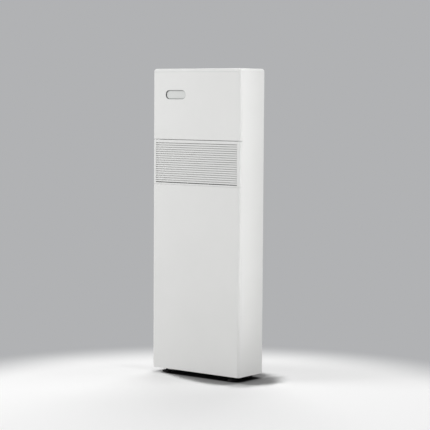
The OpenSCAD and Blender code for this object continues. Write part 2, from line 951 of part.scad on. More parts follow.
module filter_frame() {
    frame_in = filter_w / 2 - filter_bar;
    color([0.35, 0.37, 0.38])
        difference() {
            union() {
                difference() {
                    block(-filter_w / 2, filter_w / 2, filter_front, filter_back,
                        filter_bottom, filter_top);
                    block(-frame_in, frame_in, filter_front - 1, filter_back + 1,
                        filter_bottom + filter_bar, filter_top - filter_bar);
                }
                for (i = [1 : 3])
                    block(-frame_in + i * frame_in / 2 - 2, -frame_in + i * frame_in / 2 + 2,
                        filter_front, filter_back, filter_bottom + 1, filter_top - 1);
            }
            block(-frame_in - 3, frame_in + 3, filter_front + 2, filter_front + 2 + net_t + clear,
                filter_bottom + filter_bar - 3, filter_top - filter_bar + 3);
        }
}

module filter_net() {
    net_x = filter_w / 2 - filter_bar + 3 - clear;
    color([0.22, 0.24, 0.26])
        block(-net_x, net_x, filter_front + 2 + clear / 2, filter_front + 2 + clear / 2 + net_t,
            filter_bottom + filter_bar - 3 + clear, filter_top - filter_bar + 3 - clear);
}

// display

// The window's outline with round ends, drawn out by a distance.
module pill_outline(outward) {
    r = pill_h / 2 + outward;
    translate([pill_x, pill_z]) {
        square([pill_w - pill_h, 2 * r], center = true);
        for (side = [-1, 1])
            translate([side * (pill_w - pill_h) / 2, 0])
                circle(r = r);
    }
}

module display_window() {
    color([0.82, 0.84, 0.82])
        along_y(window_front, window_back)
            pill_outline(window_ledge);
}

module display_carrier() {
    color([0.20, 0.20, 0.20])
        difference() {
            along_y(carrier_front, carrier_back)
                pill_outline(window_ledge + clear + carrier_t);
            along_y(carrier_front - 1, window_front)
                pill_outline(window_gap);
            along_y(window_front - clear, carrier_back + 1)
                pill_outline(window_ledge + clear);
        }
}

module display_board() {
    digit_gap = 26;
    digit_w = 16;
    digit_h = 22;
    color([0.10, 0.32, 0.16]) {
        along_y(board_front, board_front + board_t)
            pill_outline(window_ledge);
        for (side = [-1, 1])
            translate([pill_x + side * digit_gap / 2 - digit_w / 2, window_back + clear,
                    pill_z - digit_h / 2])
                cube([digit_w, board_front - window_back - clear, digit_h]);
    }
}

// top outlet

module outlet_flap() {
    front = outlet_front + flap_gap;
    color([0.93, 0.93, 0.92]) {
        block(-flap_x, flap_x, front, hinge_y, flap_top - flap_t, flap_top);
        rod_x(hinge_y, hinge_z, barrel_r, -flap_x, flap_x);
        block(-flap_x + 12, flap_x - 12, front + 4, front + 6, flap_top - flap_t - 3,
            flap_top - flap_t / 2);
        rod_x(hinge_y, hinge_z, pin_r, -flap_x - flap_gap - pin_l, flap_x + flap_gap + pin_l);
    }
}

module flap_motor() {
    color([0.75, 0.76, 0.78])
        difference() {
            rod_x(hinge_y, flap_motor_z, flap_motor_r, flap_motor_x, flap_motor_x + flap_motor_l);
            rod_x(hinge_y, hinge_z, pin_r + run_gap, flap_motor_x - 1,
                flap_motor_x + flap_motor_l / 2);
        }
}

module outlet_vanes() {
    bar_x = throat_x - clear;
    bar_z = vane_top - vane_bar_drop;
    step = 2 * (bar_x - 12) / (vane_count - 1);
    color([0.25, 0.25, 0.26]) {
        for (i = [0 : vane_count - 1])
            translate([-bar_x + 12 + i * step - vane_t / 2, outlet_front + 2, vane_top - vane_h])
                cube([vane_t, outlet_d - 4, vane_h]);
        for (y = [outlet_front + 6, outlet_rear - 6 - vane_bar])
            block(-bar_x, bar_x, y, y + vane_bar, bar_z, bar_z + vane_bar);
    }
}

// indoor fan

// One side of a rotor blade, which curves forward from the inner to the outer edge of the blade
// ring: its angle round the axis falls with the square of the way left to go.
function blade_side(offset) = [
    for (t = [0 : 0.25 : 1])
        let (
            reach = blade_ring - 0.5,
            d = rotor_r - blade_ring + t * reach,
            a = blade_sweep * (1 - t) * (1 - t),
            lean = a - atan(2 * blade_sweep * (1 - t) * PI / 180 * d / reach)
        )
            [d * cos(a) - offset * sin(lean), d * sin(a) + offset * cos(lean)]
];

module rotor_blade() {
    near = blade_side(-blade_t / 2);
    far = blade_side(blade_t / 2);
    polygon(concat(near, [for (i = [len(far) - 1 : -1 : 0]) far[i]]));
}

module indoor_rotor() {
    pitch = (2 * rotor_x - disc_t) / rotor_sections;
    color([0.20, 0.22, 0.24]) {
        for (i = [0 : rotor_sections])
            rod_x(rotor_y, rotor_z, rotor_r, -rotor_x + i * pitch, -rotor_x + i * pitch + disc_t);
        for (i = [0 : rotor_blades - 1])
            translate([0, rotor_y, rotor_z])
                rotate([360 * i / rotor_blades, 0, 0])
                    along_x(-rotor_x + disc_t / 2, rotor_x - disc_t / 2)
                        rotor_blade();
        rod_x(rotor_y, rotor_z, shaft_r, -cheek_x - bush_l / 2, -rotor_x + disc_t / 2);
        rod_x(rotor_y, rotor_z, shaft_r, rotor_x - disc_t / 2, cheek_out + rotor_shaft_l);
    }
}

module indoor_fan_motor() {
    front = cheek_out + clear;
    color([0.75, 0.76, 0.78])
        difference() {
            union() {
                rod_x(rotor_y, rotor_z, rotor_motor_r, front, front + rotor_motor_l - 4);
                rod_x(rotor_y, rotor_z, rotor_motor_r - 6, front, front + rotor_motor_l);
                block(front, front + 3, rotor_y - rotor_motor_r - 8, rotor_y + rotor_motor_r + 8,
                    rotor_z - 9, rotor_z + 9);
            }
            rod_x(rotor_y, rotor_z, shaft_r + run_gap, front - 1, cheek_out + rotor_shaft_l + 1);
        }
}

module rotor_bush() {
    color([0.85, 0.84, 0.78])
        difference() {
            union() {
                rod_x(rotor_y, rotor_z, bush_r, -cheek_x - bush_l / 2 - 3, -cheek_x + 2);
                rod_x(rotor_y, rotor_z, bush_r + 5, -cheek_out - clear - 3, -cheek_out - clear);
            }
            rod_x(rotor_y, rotor_z, shaft_r + run_gap, -cheek_x - bush_l / 2 - 1, -cheek_x + 3);
        }
}

// The rear wall of the scroll: a spiral round the rotor that runs up into the outlet.
function scroll_point(a, out) =
    let (r = scroll_r + scroll_growth * (a - scroll_start) / (scroll_end - scroll_start) + out)
        [rotor_y + r * cos(a), rotor_z + r * sin(a)];

module scroll_wall() {
    angles = [for (i = [0 : 16]) scroll_start + i * (scroll_end - scroll_start) / 16];
    polygon(concat(
        [for (a = angles) scroll_point(a, 0)],
        [[outlet_rear, scroll_top], [outlet_rear + scroll_t, scroll_top]],
        [for (i = [len(angles) - 1 : -1 : 0]) scroll_point(angles[i], scroll_t)]
    ));
}

// Below the spiral the wall runs back and then straight down into the drip tray.
module lower_scroll_wall() {
    start = scroll_point(scroll_start, scroll_t / 2);
    knee = [scroll_back, rotor_z - knee_drop];
    run = unit(start - knee);
    polygon([
        [knee.x, drip_top + 2],
        knee,
        start,
        start + scroll_t * [run.y, -run.x],
        knee + scroll_t * [1, 1 / 3],
        [knee.x + scroll_t, drip_top + 2]
    ]);
}

// The wall before the outlet runs straight down past the vanes, then back to the rotor.
module tongue_wall() {
    tip = [rotor_y + scroll_r * cos(tongue_angle), rotor_z + scroll_r * sin(tongue_angle)];
    polygon([
        [outlet_front - scroll_t, scroll_top],
        [outlet_front, scroll_top],
        [outlet_front, vane_top - vane_h - 2 * clear],
        [tip.x + 1, tip.y + 2],
        [tip.x, tip.y],
        [tip.x - 2, tip.y + 3],
        [outlet_front - scroll_t, vane_top - vane_h - 2 * clear]
    ]);
}

module cheek_plate() {
    step_z = grille_top + seam;
    polygon([
        [filter_back + clear, partition_top + clear],
        [seat_y, partition_top + clear],
        [seat_y, scroll_top],
        [cheek_front, scroll_top],
        [cheek_front, step_z],
        [filter_back + clear, step_z]
    ]);
}

module scroll_housing() {
    wall_x = cheek_x + scroll_t / 2;
    color([0.80, 0.80, 0.78])
        difference() {
            union() {
                along_x(cheek_x, cheek_out)
                    cheek_plate();
                along_x(-cheek_out, -cheek_x)
                    cheek_plate();
                along_x(-wall_x, wall_x)
                    scroll_wall();
                along_x(-wall_x, wall_x)
                    lower_scroll_wall();
                along_x(-wall_x, wall_x)
                    tongue_wall();
                block(-wall_x, wall_x, carrier_back + clear, carrier_back + clear + scroll_t,
                    evap_z + evap_half_h + 4, scroll_top);
            }
            rod_x(rotor_y, rotor_z, bush_r + clear, -cheek_out - 1, -cheek_x + 1);
            rod_x(rotor_y, rotor_z, shaft_r + 1, cheek_x - 1, cheek_out + 1);
            rod_x(evap_low[0], evap_low[1], tube_r + 1, -cheek_out - 1, -cheek_x + 1);
            rod_x(evap_high[0], evap_high[1], tube_r + 1, -cheek_out - 1, -cheek_x + 1);
            rod_x(drain_y, drain_z, pipe_r + 1, -cheek_out - 1, -cheek_x + 1);
        }
}

// coils

// Plan of a finned slab: fins stand on both faces of a solid core.
module fin_plan(half_x) {
    face = coil_t / 2;
    core = face - fin_gap_d;
    count = floor(2 * half_x / fin_pitch) + 1;
    step = (2 * half_x - fin_t) / (count - 1);
    upper = [
        for (i = [0 : count - 1])
            let (x = -half_x + i * step)
                each [[x, core], [x, face], [x + fin_t, face], [x + fin_t, core]]
    ];
    trimmed = [for (i = [1 : len(upper) - 2]) upper[i]];
    lower = [for (i = [len(trimmed) - 1 : -1 : 0]) [trimmed[i].x, -trimmed[i].y]];
    polygon(concat(trimmed, lower));
}

// A coil about its middle, standing upright, with an end channel that reaches to its housing.
module coil_pack(half_x, reach, height, rows) {
    difference() {
        union() {
            translate([0, 0, -height / 2])
                linear_extrude(height)
                    fin_plan(half_x);
            for (side = [-1, 1])
                scale([side, 1, 1])
                    end_channel(half_x, reach, height);
        }
        for (i = [0 : rows - 1])
            rod_x(0, tube_place(i, rows), tube_r + tube_fit, -half_x - 2 * sheet_t,
                half_x + 2 * sheet_t);
    }
}

module end_channel(half_x, reach, height) {
    face = coil_t / 2;
    difference() {
        block(half_x, reach, -face, face, -height / 2, height / 2);
        block(half_x + sheet_t, reach + 1, -face + sheet_t, face - sheet_t,
            -height / 2 - 1, height / 2 + 1);
    }
}

// The tubes of a coil, joined by bends at alternate ends; both free ends come out on the left.
module coil_tubes(half_x, rows, free_x) {
    end_x = half_x + sheet_t;
    for (i = [0 : rows - 1])
        rod_x(0, tube_place(i, rows), tube_r, i == 0 || i == rows - 1 ? free_x : -end_x, end_x);
    for (i = [0 : rows - 2])
        translate([i % 2 == 0 ? end_x : -end_x, 0, tube_place(i + 0.5, rows)])
            rotate([90, 0, 0])
                rotate([0, 0, i % 2 == 0 ? -90 : 90])
                    rotate_extrude(angle = 180)
                        translate([tube_pitch / 2, 0])
                            circle(r = tube_r);
}

module at_evaporator() {
    translate([0, evap_y, evap_z])
        rotate([evap_tilt, 0, 0])
            children();
}

module evaporator_coil() {
    color([0.78, 0.79, 0.80])
        at_evaporator()
            coil_pack(evap_x, cheek_x - clear, evap_len, evap_rows);
}

module evaporator_tubes() {
    color([0.72, 0.45, 0.30])
        at_evaporator()
            coil_tubes(evap_x, evap_rows, stub_x);
}

module condenser_coil() {
    color([0.78, 0.79, 0.80])
        translate([0, cond_y, duct_low_z])
            coil_pack(cond_x, shroud_x - clear, cond_h, cond_rows);
}

module condenser_tubes() {
    color([0.72, 0.45, 0.30])
        translate([0, cond_y, duct_low_z])
            coil_tubes(cond_x, cond_rows, cond_stub_x);
}

module condenser_shroud() {
    half_in = shroud_half_h - shroud_t;
    color([0.70, 0.71, 0.72])
        difference() {
            block(-shroud_out, shroud_out, cond_front - shroud_t, seat_y,
                duct_low_z - shroud_half_h, duct_low_z + shroud_half_h);
            block(-shroud_x, shroud_x, cond_front - shroud_t - 1, seat_y + 1,
                duct_low_z - half_in, duct_low_z + half_in);
            for (z = [cond_low_z, cond_high_z])
                rod_x(cond_y, z, tube_r + 1, -shroud_out - 1, -shroud_x + 1);
        }
}

module drip_tray() {
    tray_x = cheek_x - clear;
    color([0.25, 0.25, 0.26])
        difference() {
            union() {
                difference() {
                    block(-tray_x, tray_x, drip_front, seat_y, drip_z, drip_top);
                    block(-tray_x + drip_t, tray_x - drip_t, drip_front + drip_t,
                        seat_y - drip_t, drip_z + drip_t, drip_top + 1);
                }
                rod_x(drain_y, drain_z, pipe_r, stub_x, -tray_x + drip_t / 2);
            }
            rod_x(drain_y, drain_z, pipe_r - 2, stub_x - 1, -tray_x + drip_t + 1);
        }
}

module drain_pipe() {
    color([0.25, 0.25, 0.26])
        pipe(drain_route, pipe_r, 8);
}

// outdoor fan

module fan_box() {
    color([0.70, 0.71, 0.72])
        difference() {
            block(-plenum_x, plenum_x, plenum_front, seat_y,
                duct_high_z - plenum_x, duct_high_z + plenum_x);
            block(-plenum_in, plenum_in, plenum_front + shroud_t, seat_y + 1,
                duct_high_z - plenum_in, duct_high_z + plenum_in);
            rod_y(0, duct_high_z, eye_r + clear, plenum_front - 1, plenum_front + shroud_t + 1);
        }
}

// Bellmouth round the wheel's inlet: a flange that rolls over into a short tube.
module inlet_ring() {
    flare = 5;
    color([0.25, 0.25, 0.26])
        translate([0, plenum_front - clear - ring_t, duct_high_z])
            rotate([-90, 0, 0])
                rotate_extrude()
                    polygon([
                        [eye_r + ring_flange, 0],
                        [eye_r + ring_flange, ring_t],
                        [eye_r, ring_t],
                        [eye_r, ring_t + shroud_t + 6],
                        [eye_r - ring_t, ring_t + shroud_t + 6],
                        for (a = [0 : 22.5 : 90])
                            [eye_r - ring_t + flare * (1 - cos(a)), flare * (1 - sin(a))]
                    ]);
}

// A wheel blade leans back from the hub side to the rim.
function wheel_arc(out) = [
    for (t = [0 : 0.125 : 1])
        let (d = wheel_eye - 8 + t * (wheel_r - wheel_eye + 7), a = -38 * t * (1.3 - 0.3 * t))
            [(d + out) * cos(a), (d + out) * sin(a)]
];

module wheel_blade() {
    outer = [for (p = wheel_arc(0)) p + [0.9, 0.9]];
    inner = wheel_arc(0);
    polygon(concat(outer, [for (i = [len(inner) - 1 : -1 : 0]) inner[i]]));
}

module fan_wheel() {
    color([0.20, 0.22, 0.24]) {
        translate([0, wheel_front, duct_high_z])
            rotate([-90, 0, 0]) {
                rotate_extrude()
                    polygon([
                        [0, wheel_w - 24],
                        [hub_r, wheel_w - 24],
                        [hub_r + 6, wheel_w - 6],
                        [wheel_r, wheel_w - wheel_plate],
                        [wheel_r, wheel_w],
                        [0, wheel_w]
                    ]);
                rotate_extrude()
                    polygon([
                        [wheel_eye, 0],
                        [wheel_r, 9],
                        [wheel_r, 11],
                        [wheel_eye, 2]
                    ]);
                for (i = [0 : wheel_blades - 1])
                    rotate([0, 0, 360 * i / wheel_blades])
                        translate([0, 0, 8])
                            linear_extrude(wheel_w - 9)
                                wheel_blade();
            }
        rod_y(0, duct_high_z, shaft_r, wheel_back - wheel_plate, wheel_back + motor_gap + 16);
    }
}

module wheel_motor() {
    color([0.75, 0.76, 0.78])
        difference() {
            union() {
                rod_y(0, duct_high_z, wheel_motor_r - 8, wheel_motor_front, wheel_motor_back);
                rod_y(0, duct_high_z, wheel_motor_r, wheel_motor_front + 5, wheel_motor_back);
            }
            rod_y(0, duct_high_z, shaft_r + run_gap, wheel_motor_front - 1,
                wheel_back + motor_gap + 17);
        }
}

module motor_bracket() {
    reach = plenum_in - clear;
    color([0.70, 0.71, 0.72])
        difference() {
            block(-reach, reach, bracket_front, bracket_front + bracket_foot,
                duct_high_z - bracket_w / 2, duct_high_z + bracket_w / 2);
            block(-reach + bracket_t, reach - bracket_t, bracket_front + bracket_t,
                bracket_front + bracket_foot + 1,
                duct_high_z - bracket_w, duct_high_z + bracket_w);
        }
}

module duct_collar(z) {
    color([0.16, 0.16, 0.17])
        difference() {
            union() {
                rod_y(0, z, collar_out, collar_front, back_y);
                rod_y(0, z, collar_out + collar_flange, flange_front, back_y);
            }
            rod_y(0, z, duct_r, collar_front - 1, back_y + 1);
        }
}

module upper_duct_collar() {
    duct_collar(duct_high_z);
}

module lower_duct_collar() {
    duct_collar(duct_low_z);
}

// compressor and pipes

// Half outline of a closed vessel with domed ends, standing on z = 0.
module vessel_outline(r, h, dome) {
    polygon(concat(
        [[0, 0]],
        [for (a = [-90 : 15 : 0]) [r - dome + dome * cos(a), dome + dome * sin(a)]],
        [for (a = [0 : 15 : 90]) [r - dome + dome * cos(a), h - dome + dome * sin(a)]],
        [[0, h]]
    ));
}

module compressor() {
    arm_r = grommet_r + 3;
    color([0.12, 0.12, 0.13])
        difference() {
            union() {
                translate([comp_x, comp_y, comp_z])
                    rotate_extrude()
                        vessel_outline(comp_r, comp_h, 14);
                for (i = [0 : 2])
                    translate([comp_x, comp_y, comp_z])
                        rotate([0, 0, 120 * i + 90]) {
                            translate([0, -arm_r, 0])
                                cube([mount_r, 2 * arm_r, comp_plate]);
                            translate([mount_r, 0, 0])
                                cylinder(r = arm_r, h = comp_plate);
                        }
                rod_z(comp_x, comp_y, pipe_r + 1, comp_top - 2, comp_top + port_l);
                rod_x(comp_y, elbow_z, pipe_r + 1, comp_x, comp_x + comp_r + port_l);
                rod_z(comp_x + comp_r * 0.5, comp_y - 12, 12, comp_top - 12, comp_top + 4);
            }
            for (i = [0 : 2])
                translate([comp_x, comp_y, comp_z - 1])
                    rotate([0, 0, 120 * i + 90])
                        translate([mount_r, 0, 0])
                            cylinder(r = 6, h = comp_plate + 2);
        }
}

module compressor_mounts() {
    color([0.16, 0.16, 0.17])
        for (i = [0 : 2])
            translate([comp_x, comp_y, 0])
                rotate([0, 0, 120 * i + 90])
                    translate([mount_r, 0, 0]) {
                        rod_z(0, 0, grommet_r, floor_z + clear, comp_z - clear);
                        rod_z(0, 0, 5.5, comp_z - 1, comp_z + comp_plate + 2);
                        rod_z(0, 0, grommet_r - 2, comp_z + comp_plate + clear,
                            comp_z + comp_plate + 3);
                    }
}

module accumulator() {
    strap = 6;
    color([0.12, 0.12, 0.13]) {
        translate([accu_x, comp_y, accu_z])
            rotate_extrude()
                vessel_outline(accu_r, accu_h, 12);
        rod_z(accu_x, comp_y, pipe_r + 1, accu_z - port_l, accu_z + 2);
        rod_z(accu_x, comp_y, pipe_r + 1, accu_top - 2, accu_top + port_l);
        block(comp_x + comp_r + clear, accu_x, comp_y - strap, comp_y + strap,
            accu_z + accu_h / 2 - strap, accu_z + accu_h / 2 + strap);
    }
}

module suction_elbow() {
    start_x = comp_x + comp_r + port_l + clear;
    end_z = accu_z - port_l - clear;
    color([0.72, 0.45, 0.30])
        pipe([[start_x, comp_y, elbow_z], [accu_x, comp_y, elbow_z], [accu_x, comp_y, end_z]],
            pipe_r, elbow_bend);
}

module discharge_pipe() {
    color([0.72, 0.45, 0.30])
        pipe(discharge_route, pipe_r);
}

module suction_pipe() {
    color([0.72, 0.45, 0.30])
        pipe(suction_route, pipe_r);
}

module liquid_pipe() {
    color([0.72, 0.45, 0.30])
        pipe(liquid_route, tube_r);
}

module valve_pipes() {
    color([0.72, 0.45, 0.30]) {
        pipe(condenser_route, tube_r);
        pipe(evaporator_route, tube_r);
    }
}

module reversing_valve() {
    color([0.75, 0.60, 0.35]) {
        translate([valve_x, valve_y, valve_low])
            rotate_extrude()
                vessel_outline(valve_r, valve_l, 5);
        rod_z(valve_x, valve_y, pipe_r + 1, valve_low - port_l, valve_low + 1);
        rod_z(valve_x, valve_y, pipe_r + 1, valve_top - 1, valve_top + port_l);
        rod_x(valve_y, port_left.z, tube_r + 1, port_left.x + clear, valve_x);
        rod_x(valve_y, port_right.z, tube_r + 1, valve_x, port_right.x - clear);
        rod_y(valve_x, valve_z, 8, valve_y - valve_r - 16, valve_y);
    }
}

// controls, drains and fasteners

module control_box() {
    color([0.70, 0.71, 0.72])
        difference() {
            block(box_x0, box_x1, box_y0, seat_y, box_z0, box_z1);
            block(box_x0 + box_t, box_x1 - box_t, box_y0 - 1, seat_y - box_t,
                box_z0 + box_t, box_z1 - box_t);
            rod_y(gland_x, gland_z, gland_r + gland_wall + clear, seat_y - box_t - 1, seat_y + 1);
        }
}

module control_board() {
    back = seat_y - box_t - clear;
    board_back = back - standoff_l;
    x0 = box_x0 + board_margin;
    x1 = box_x1 - board_margin;
    z0 = gland_z + 18;
    z1 = box_z1 - board_margin;
    face = board_back - board_t;
    sunk = board_back - 1;
    standoff_r = 2.5;
    standoff_in = 6;
    capacitor_r = 9;
    capacitor_l = 26;
    transformer = [42, 20, 36];
    relay = [38, 14, 40];
    color([0.10, 0.32, 0.16]) {
        block(x0, x1, face, board_back, z0, z1);
        for (x = [x0 + standoff_in, x1 - standoff_in], z = [z0 + standoff_in, z1 - standoff_in])
            rod_y(x, z, standoff_r, sunk, back);
        for (i = [0 : 2])
            rod_y(x0 + 30 + i * 26, z1 - 26, capacitor_r, face - capacitor_l, sunk);
        block(x0 + 20, x0 + 20 + transformer.x, face - transformer.y, sunk,
            z0 + 14, z0 + 14 + transformer.z);
        block(x1 - 22 - relay.x, x1 - 22, face - relay.y, sunk, z0 + 16, z0 + 16 + relay.z);
    }
}

module terminal_block() {
    back = seat_y - box_t - clear;
    x0 = box_x0 + board_margin;
    ways = 6;
    way_l = 14;
    strip_t = 20;
    screw_well = 8;
    color([0.90, 0.89, 0.84])
        difference() {
            block(x0, x0 + ways * way_l, back - strip_t, back,
                box_z0 + box_t + clear, gland_z + way_l);
            for (i = [0 : ways - 1])
                rod_y(x0 + (i + 0.5) * way_l, gland_z, way_l / 4,
                    back - strip_t - 1, back - strip_t + screw_well);
        }
}

// A levelling foot: a round rubber pad with a bevelled edge on a screwed stud.
module foot(sx, sy) {
    bevel = 1.5;
    neck = 4;
    color([0.07, 0.07, 0.07])
        translate([sx * foot_x, sy * foot_y, 0])
            rotate_extrude()
                polygon([
                    [0, 0],
                    [pad_r - bevel, 0],
                    [pad_r, bevel],
                    [pad_r, pad_h - bevel],
                    [pad_r - bevel, pad_h],
                    [stud_r + neck, pad_h],
                    [stud_r, pad_h + neck / 2],
                    [stud_r, floor_z + stud_top],
                    [0, floor_z + stud_top]
                ]);
}

module foot_front_left() {
    foot(-1, -1);
}

module foot_front_right() {
    foot(1, -1);
}

module foot_back_left() {
    foot(-1, 1);
}

module foot_back_right() {
    foot(1, 1);
}

module foot_nuts() {
    color([0.62, 0.63, 0.64])
        for (sx = [-1, 1], sy = [-1, 1])
            translate([sx * foot_x, sy * foot_y, floor_z + clear])
                difference() {
                    cylinder(r = nut_r, h = nut_h, $fn = 6);
                    translate([0, 0, -1])
                        cylinder(r = stud_r + run_gap, h = nut_h + 2);
                }
}

// The spigot hangs by its flange in the base tray and is held by a nut below.
module drain_spigot() {
    nut_top = tray_z - clear;
    color([0.16, 0.16, 0.17])
        difference() {
            union() {
                rod_z(spigot_x, spigot_y, spigot_r, tray_z - spigot_l, nut_top - spigot_nut_h);
                rod_z(spigot_x, spigot_y, spigot_r + spigot_flange, nut_top - spigot_nut_h, nut_top);
                rod_z(spigot_x, spigot_y, spigot_r - spigot_step, nut_top, floor_z + clear);
                rod_z(spigot_x, spigot_y, spigot_r + spigot_flange, floor_z + clear,
                    floor_z + clear + 2);
            }
            rod_z(spigot_x, spigot_y, spigot_r - spigot_wall, tray_z - spigot_l - 1,
                floor_z + clear + 3);
        }
}

module cable_gland() {
    body_r = gland_r + gland_wall;
    inner = seat_y - box_t - clear - gland_nut_l;
    color([0.16, 0.16, 0.17])
        difference() {
            union() {
                rod_y(gland_x, gland_z, body_r, inner, back_y);
                rod_y(gland_x, gland_z, body_r + gland_flange, flange_front, back_y);
                rod_y(gland_x, gland_z, body_r + gland_flange - 1, inner, inner + gland_nut_l);
            }
            rod_y(gland_x, gland_z, gland_r, inner - 1, back_y + 1);
        }
}

module cover_screws() {
    color([0.80, 0.80, 0.80])
        for (sx = [-1, 1], i = [0 : screw_count - 1])
            translate([sx * screw_x, back_y - 0.2, screw_height(i)])
                rotate([90, 0, 0])
                    difference() {
                        union() {
                            cylinder(r1 = screw_r, r2 = shank_r, h = screw_depth);
                            cylinder(r = shank_r, h = shank_l);
                        }
                        translate([0, 0, -1])
                            cylinder(r = 1.2, h = 1.9, $fn = 6);
                    }
}

base_tray();
rear_panel();
left_side_cover();
right_side_cover();
top_cap();
upper_front_cover();
lower_front_cover();
left_upright();
right_upright();
top_deck();
partition_plate();
intake_grille();
filter_frame();
filter_net();
display_window();
display_carrier();
display_board();
outlet_flap();
flap_motor();
outlet_vanes();
indoor_rotor();
indoor_fan_motor();
rotor_bush();
scroll_housing();
evaporator_coil();
evaporator_tubes();
drip_tray();
drain_pipe();
condenser_coil();
condenser_tubes();
condenser_shroud();
fan_box();
inlet_ring();
fan_wheel();
wheel_motor();
motor_bracket();
upper_duct_collar();
lower_duct_collar();
compressor();
compressor_mounts();
accumulator();
suction_elbow();
discharge_pipe();
suction_pipe();
liquid_pipe();
valve_pipes();
reversing_valve();
control_box();
control_board();
terminal_block();
foot_front_left();
foot_front_right();
foot_back_left();
foot_back_right();
foot_nuts();
drain_spigot();
cable_gland();
cover_screws();
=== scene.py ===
"""Looks of a slim upright air conditioner: white covers, louvred intake, top flap, black feet.

Shapes are surfaces of two parameters worked out with numpy: a section carried along a path, rings
round an axis, or a flat face with a hole. Lengths are metres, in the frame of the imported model.
"""

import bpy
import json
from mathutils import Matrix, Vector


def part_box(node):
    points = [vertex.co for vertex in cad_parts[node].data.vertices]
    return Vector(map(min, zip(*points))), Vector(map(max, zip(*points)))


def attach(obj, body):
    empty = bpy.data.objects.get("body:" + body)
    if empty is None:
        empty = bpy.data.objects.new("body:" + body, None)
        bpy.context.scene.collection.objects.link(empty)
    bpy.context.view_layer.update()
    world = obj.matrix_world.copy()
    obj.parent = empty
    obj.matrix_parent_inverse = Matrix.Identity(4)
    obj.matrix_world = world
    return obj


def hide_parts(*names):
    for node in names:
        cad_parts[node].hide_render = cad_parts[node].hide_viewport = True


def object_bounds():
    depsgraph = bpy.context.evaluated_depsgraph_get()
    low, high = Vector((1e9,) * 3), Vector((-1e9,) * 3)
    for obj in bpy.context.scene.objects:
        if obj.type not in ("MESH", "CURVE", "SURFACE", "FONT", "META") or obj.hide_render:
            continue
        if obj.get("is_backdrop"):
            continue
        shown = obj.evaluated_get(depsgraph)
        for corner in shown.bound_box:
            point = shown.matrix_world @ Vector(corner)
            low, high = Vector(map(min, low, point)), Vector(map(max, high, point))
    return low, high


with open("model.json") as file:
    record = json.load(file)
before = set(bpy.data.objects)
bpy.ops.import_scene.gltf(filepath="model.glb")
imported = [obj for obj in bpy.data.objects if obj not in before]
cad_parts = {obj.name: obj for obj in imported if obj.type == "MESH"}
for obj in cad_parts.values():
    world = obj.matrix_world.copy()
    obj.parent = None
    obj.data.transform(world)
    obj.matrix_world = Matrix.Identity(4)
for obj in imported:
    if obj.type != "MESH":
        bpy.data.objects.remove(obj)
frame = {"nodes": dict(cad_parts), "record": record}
cad_low, cad_high = (tuple(corner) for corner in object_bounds())

import json

import bmesh
import bpy
import numpy as np
from mathutils import Matrix, Vector

MM = 0.001

# The case's box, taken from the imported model.
HALF_W = cad_high[0]
FRONT = cad_low[1]
BACK = cad_high[1]
TOP = cad_high[2]

# Covers: corner in plan, sheet, folds, small edges, flanges and how far these are sunk in the sheet.
CORNER_R = 12 * MM
SHEET = 2 * MM
FOLD_R = 1 * MM
FOLD_D = 10 * MM
LIP_R = 0.45 * MM
FLANGE_W = 13 * MM
SUNK = 0.4 * MM

# The display's pill outline, drawn out by the gap for the cover's opening and by the ledge for the
# window, and the radius of both front edges.
WINDOW_GAP = 0.6 * MM
WINDOW_LEDGE = 3 * MM
WINDOW_EASE = 0.8 * MM

# Intake grille: slots and the section of the slats between them.
SLOT_COUNT = 19
SLOT_H = 3.6 * MM
SLAT_H = 6.35 * MM
SLAT_PITCH = SLOT_H + SLAT_H
SLAT_D = 15.5 * MM
SLAT_RISE = 12 * MM
SLAT_BACK = 2 * MM
SLAT_KNEE = 7.5 * MM
SLAT_CLIMB = 3.9 * MM
SLAT_LAND = 5 * MM
SLAT_RECESS = 0.5 * MM
RAIL_TOP = 13.4 * MM
STILE_W = 17 * MM
RIB_PITCH = 118 * MM

# Top outlet: half lengths of its throat and flap, and the flap's hinge barrel.
THROAT_X = 205 * MM
FLAP_X = 204 * MM
BARREL_R = 4 * MM

# Screws down the back.
SCREW_COUNT = 6
SCREW_R = 3.4 * MM
SHANK_R = 1.6 * MM

# Points closer than this are welded, and edges over this many degrees are sharp.
WELD = 2e-6
SHARP = 35


def box(node):
    """Lowest and highest corner of a CAD node, as arrays."""
    low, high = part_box(node)
    return np.array(low), np.array(high)


WINDOW_LOW, WINDOW_HIGH = box("display_window")
PILL_MIDDLE = (WINDOW_LOW + WINDOW_HIGH) / 2
PILL_R = (WINDOW_HIGH[2] - WINDOW_LOW[2]) / 2 - WINDOW_LEDGE
PILL_HALF = (WINDOW_HIGH[0] - WINDOW_LOW[0]) / 2 - WINDOW_LEDGE


# Outlines


def unit(v):
    """The vector divided by its length."""
    return v / np.linalg.norm(v)


def quarter(steps):
    """Angles over a quarter turn, in radians."""
    return np.radians(np.linspace(0, 90, steps + 1))


def rounded(corners, radii, steps=4):
    """A closed outline. Each corner becomes an arc of its own radius that touches both sides: the
    arc's centre lies r / sin(half the corner's angle) from the corner, on its bisector."""
    corners = np.array(corners, float)
    count = len(corners)
    parts = []
    for k in range(count):
        corner, r = corners[k], radii[k]
        if r == 0:
            parts.append(corner[None])
            continue
        a = unit(corners[k - 1] - corner)
        b = unit(corners[(k + 1) % count] - corner)
        half = np.arccos(np.clip(a @ b, -1, 1)) / 2
        centre = corner + unit(a + b) * r / np.sin(half)
        first = (corner + a * r / np.tan(half) - centre) / r
        last = (corner + b * r / np.tan(half) - centre) / r
        turn = np.arccos(np.clip(first @ last, -1, 1))
        s = np.linspace(0, 1, steps + 1)[:, None]
        arc = (np.sin((1 - s) * turn) * first + np.sin(s * turn) * last) / np.sin(turn)
        parts.append(centre + r * arc)
    return np.vstack(parts)


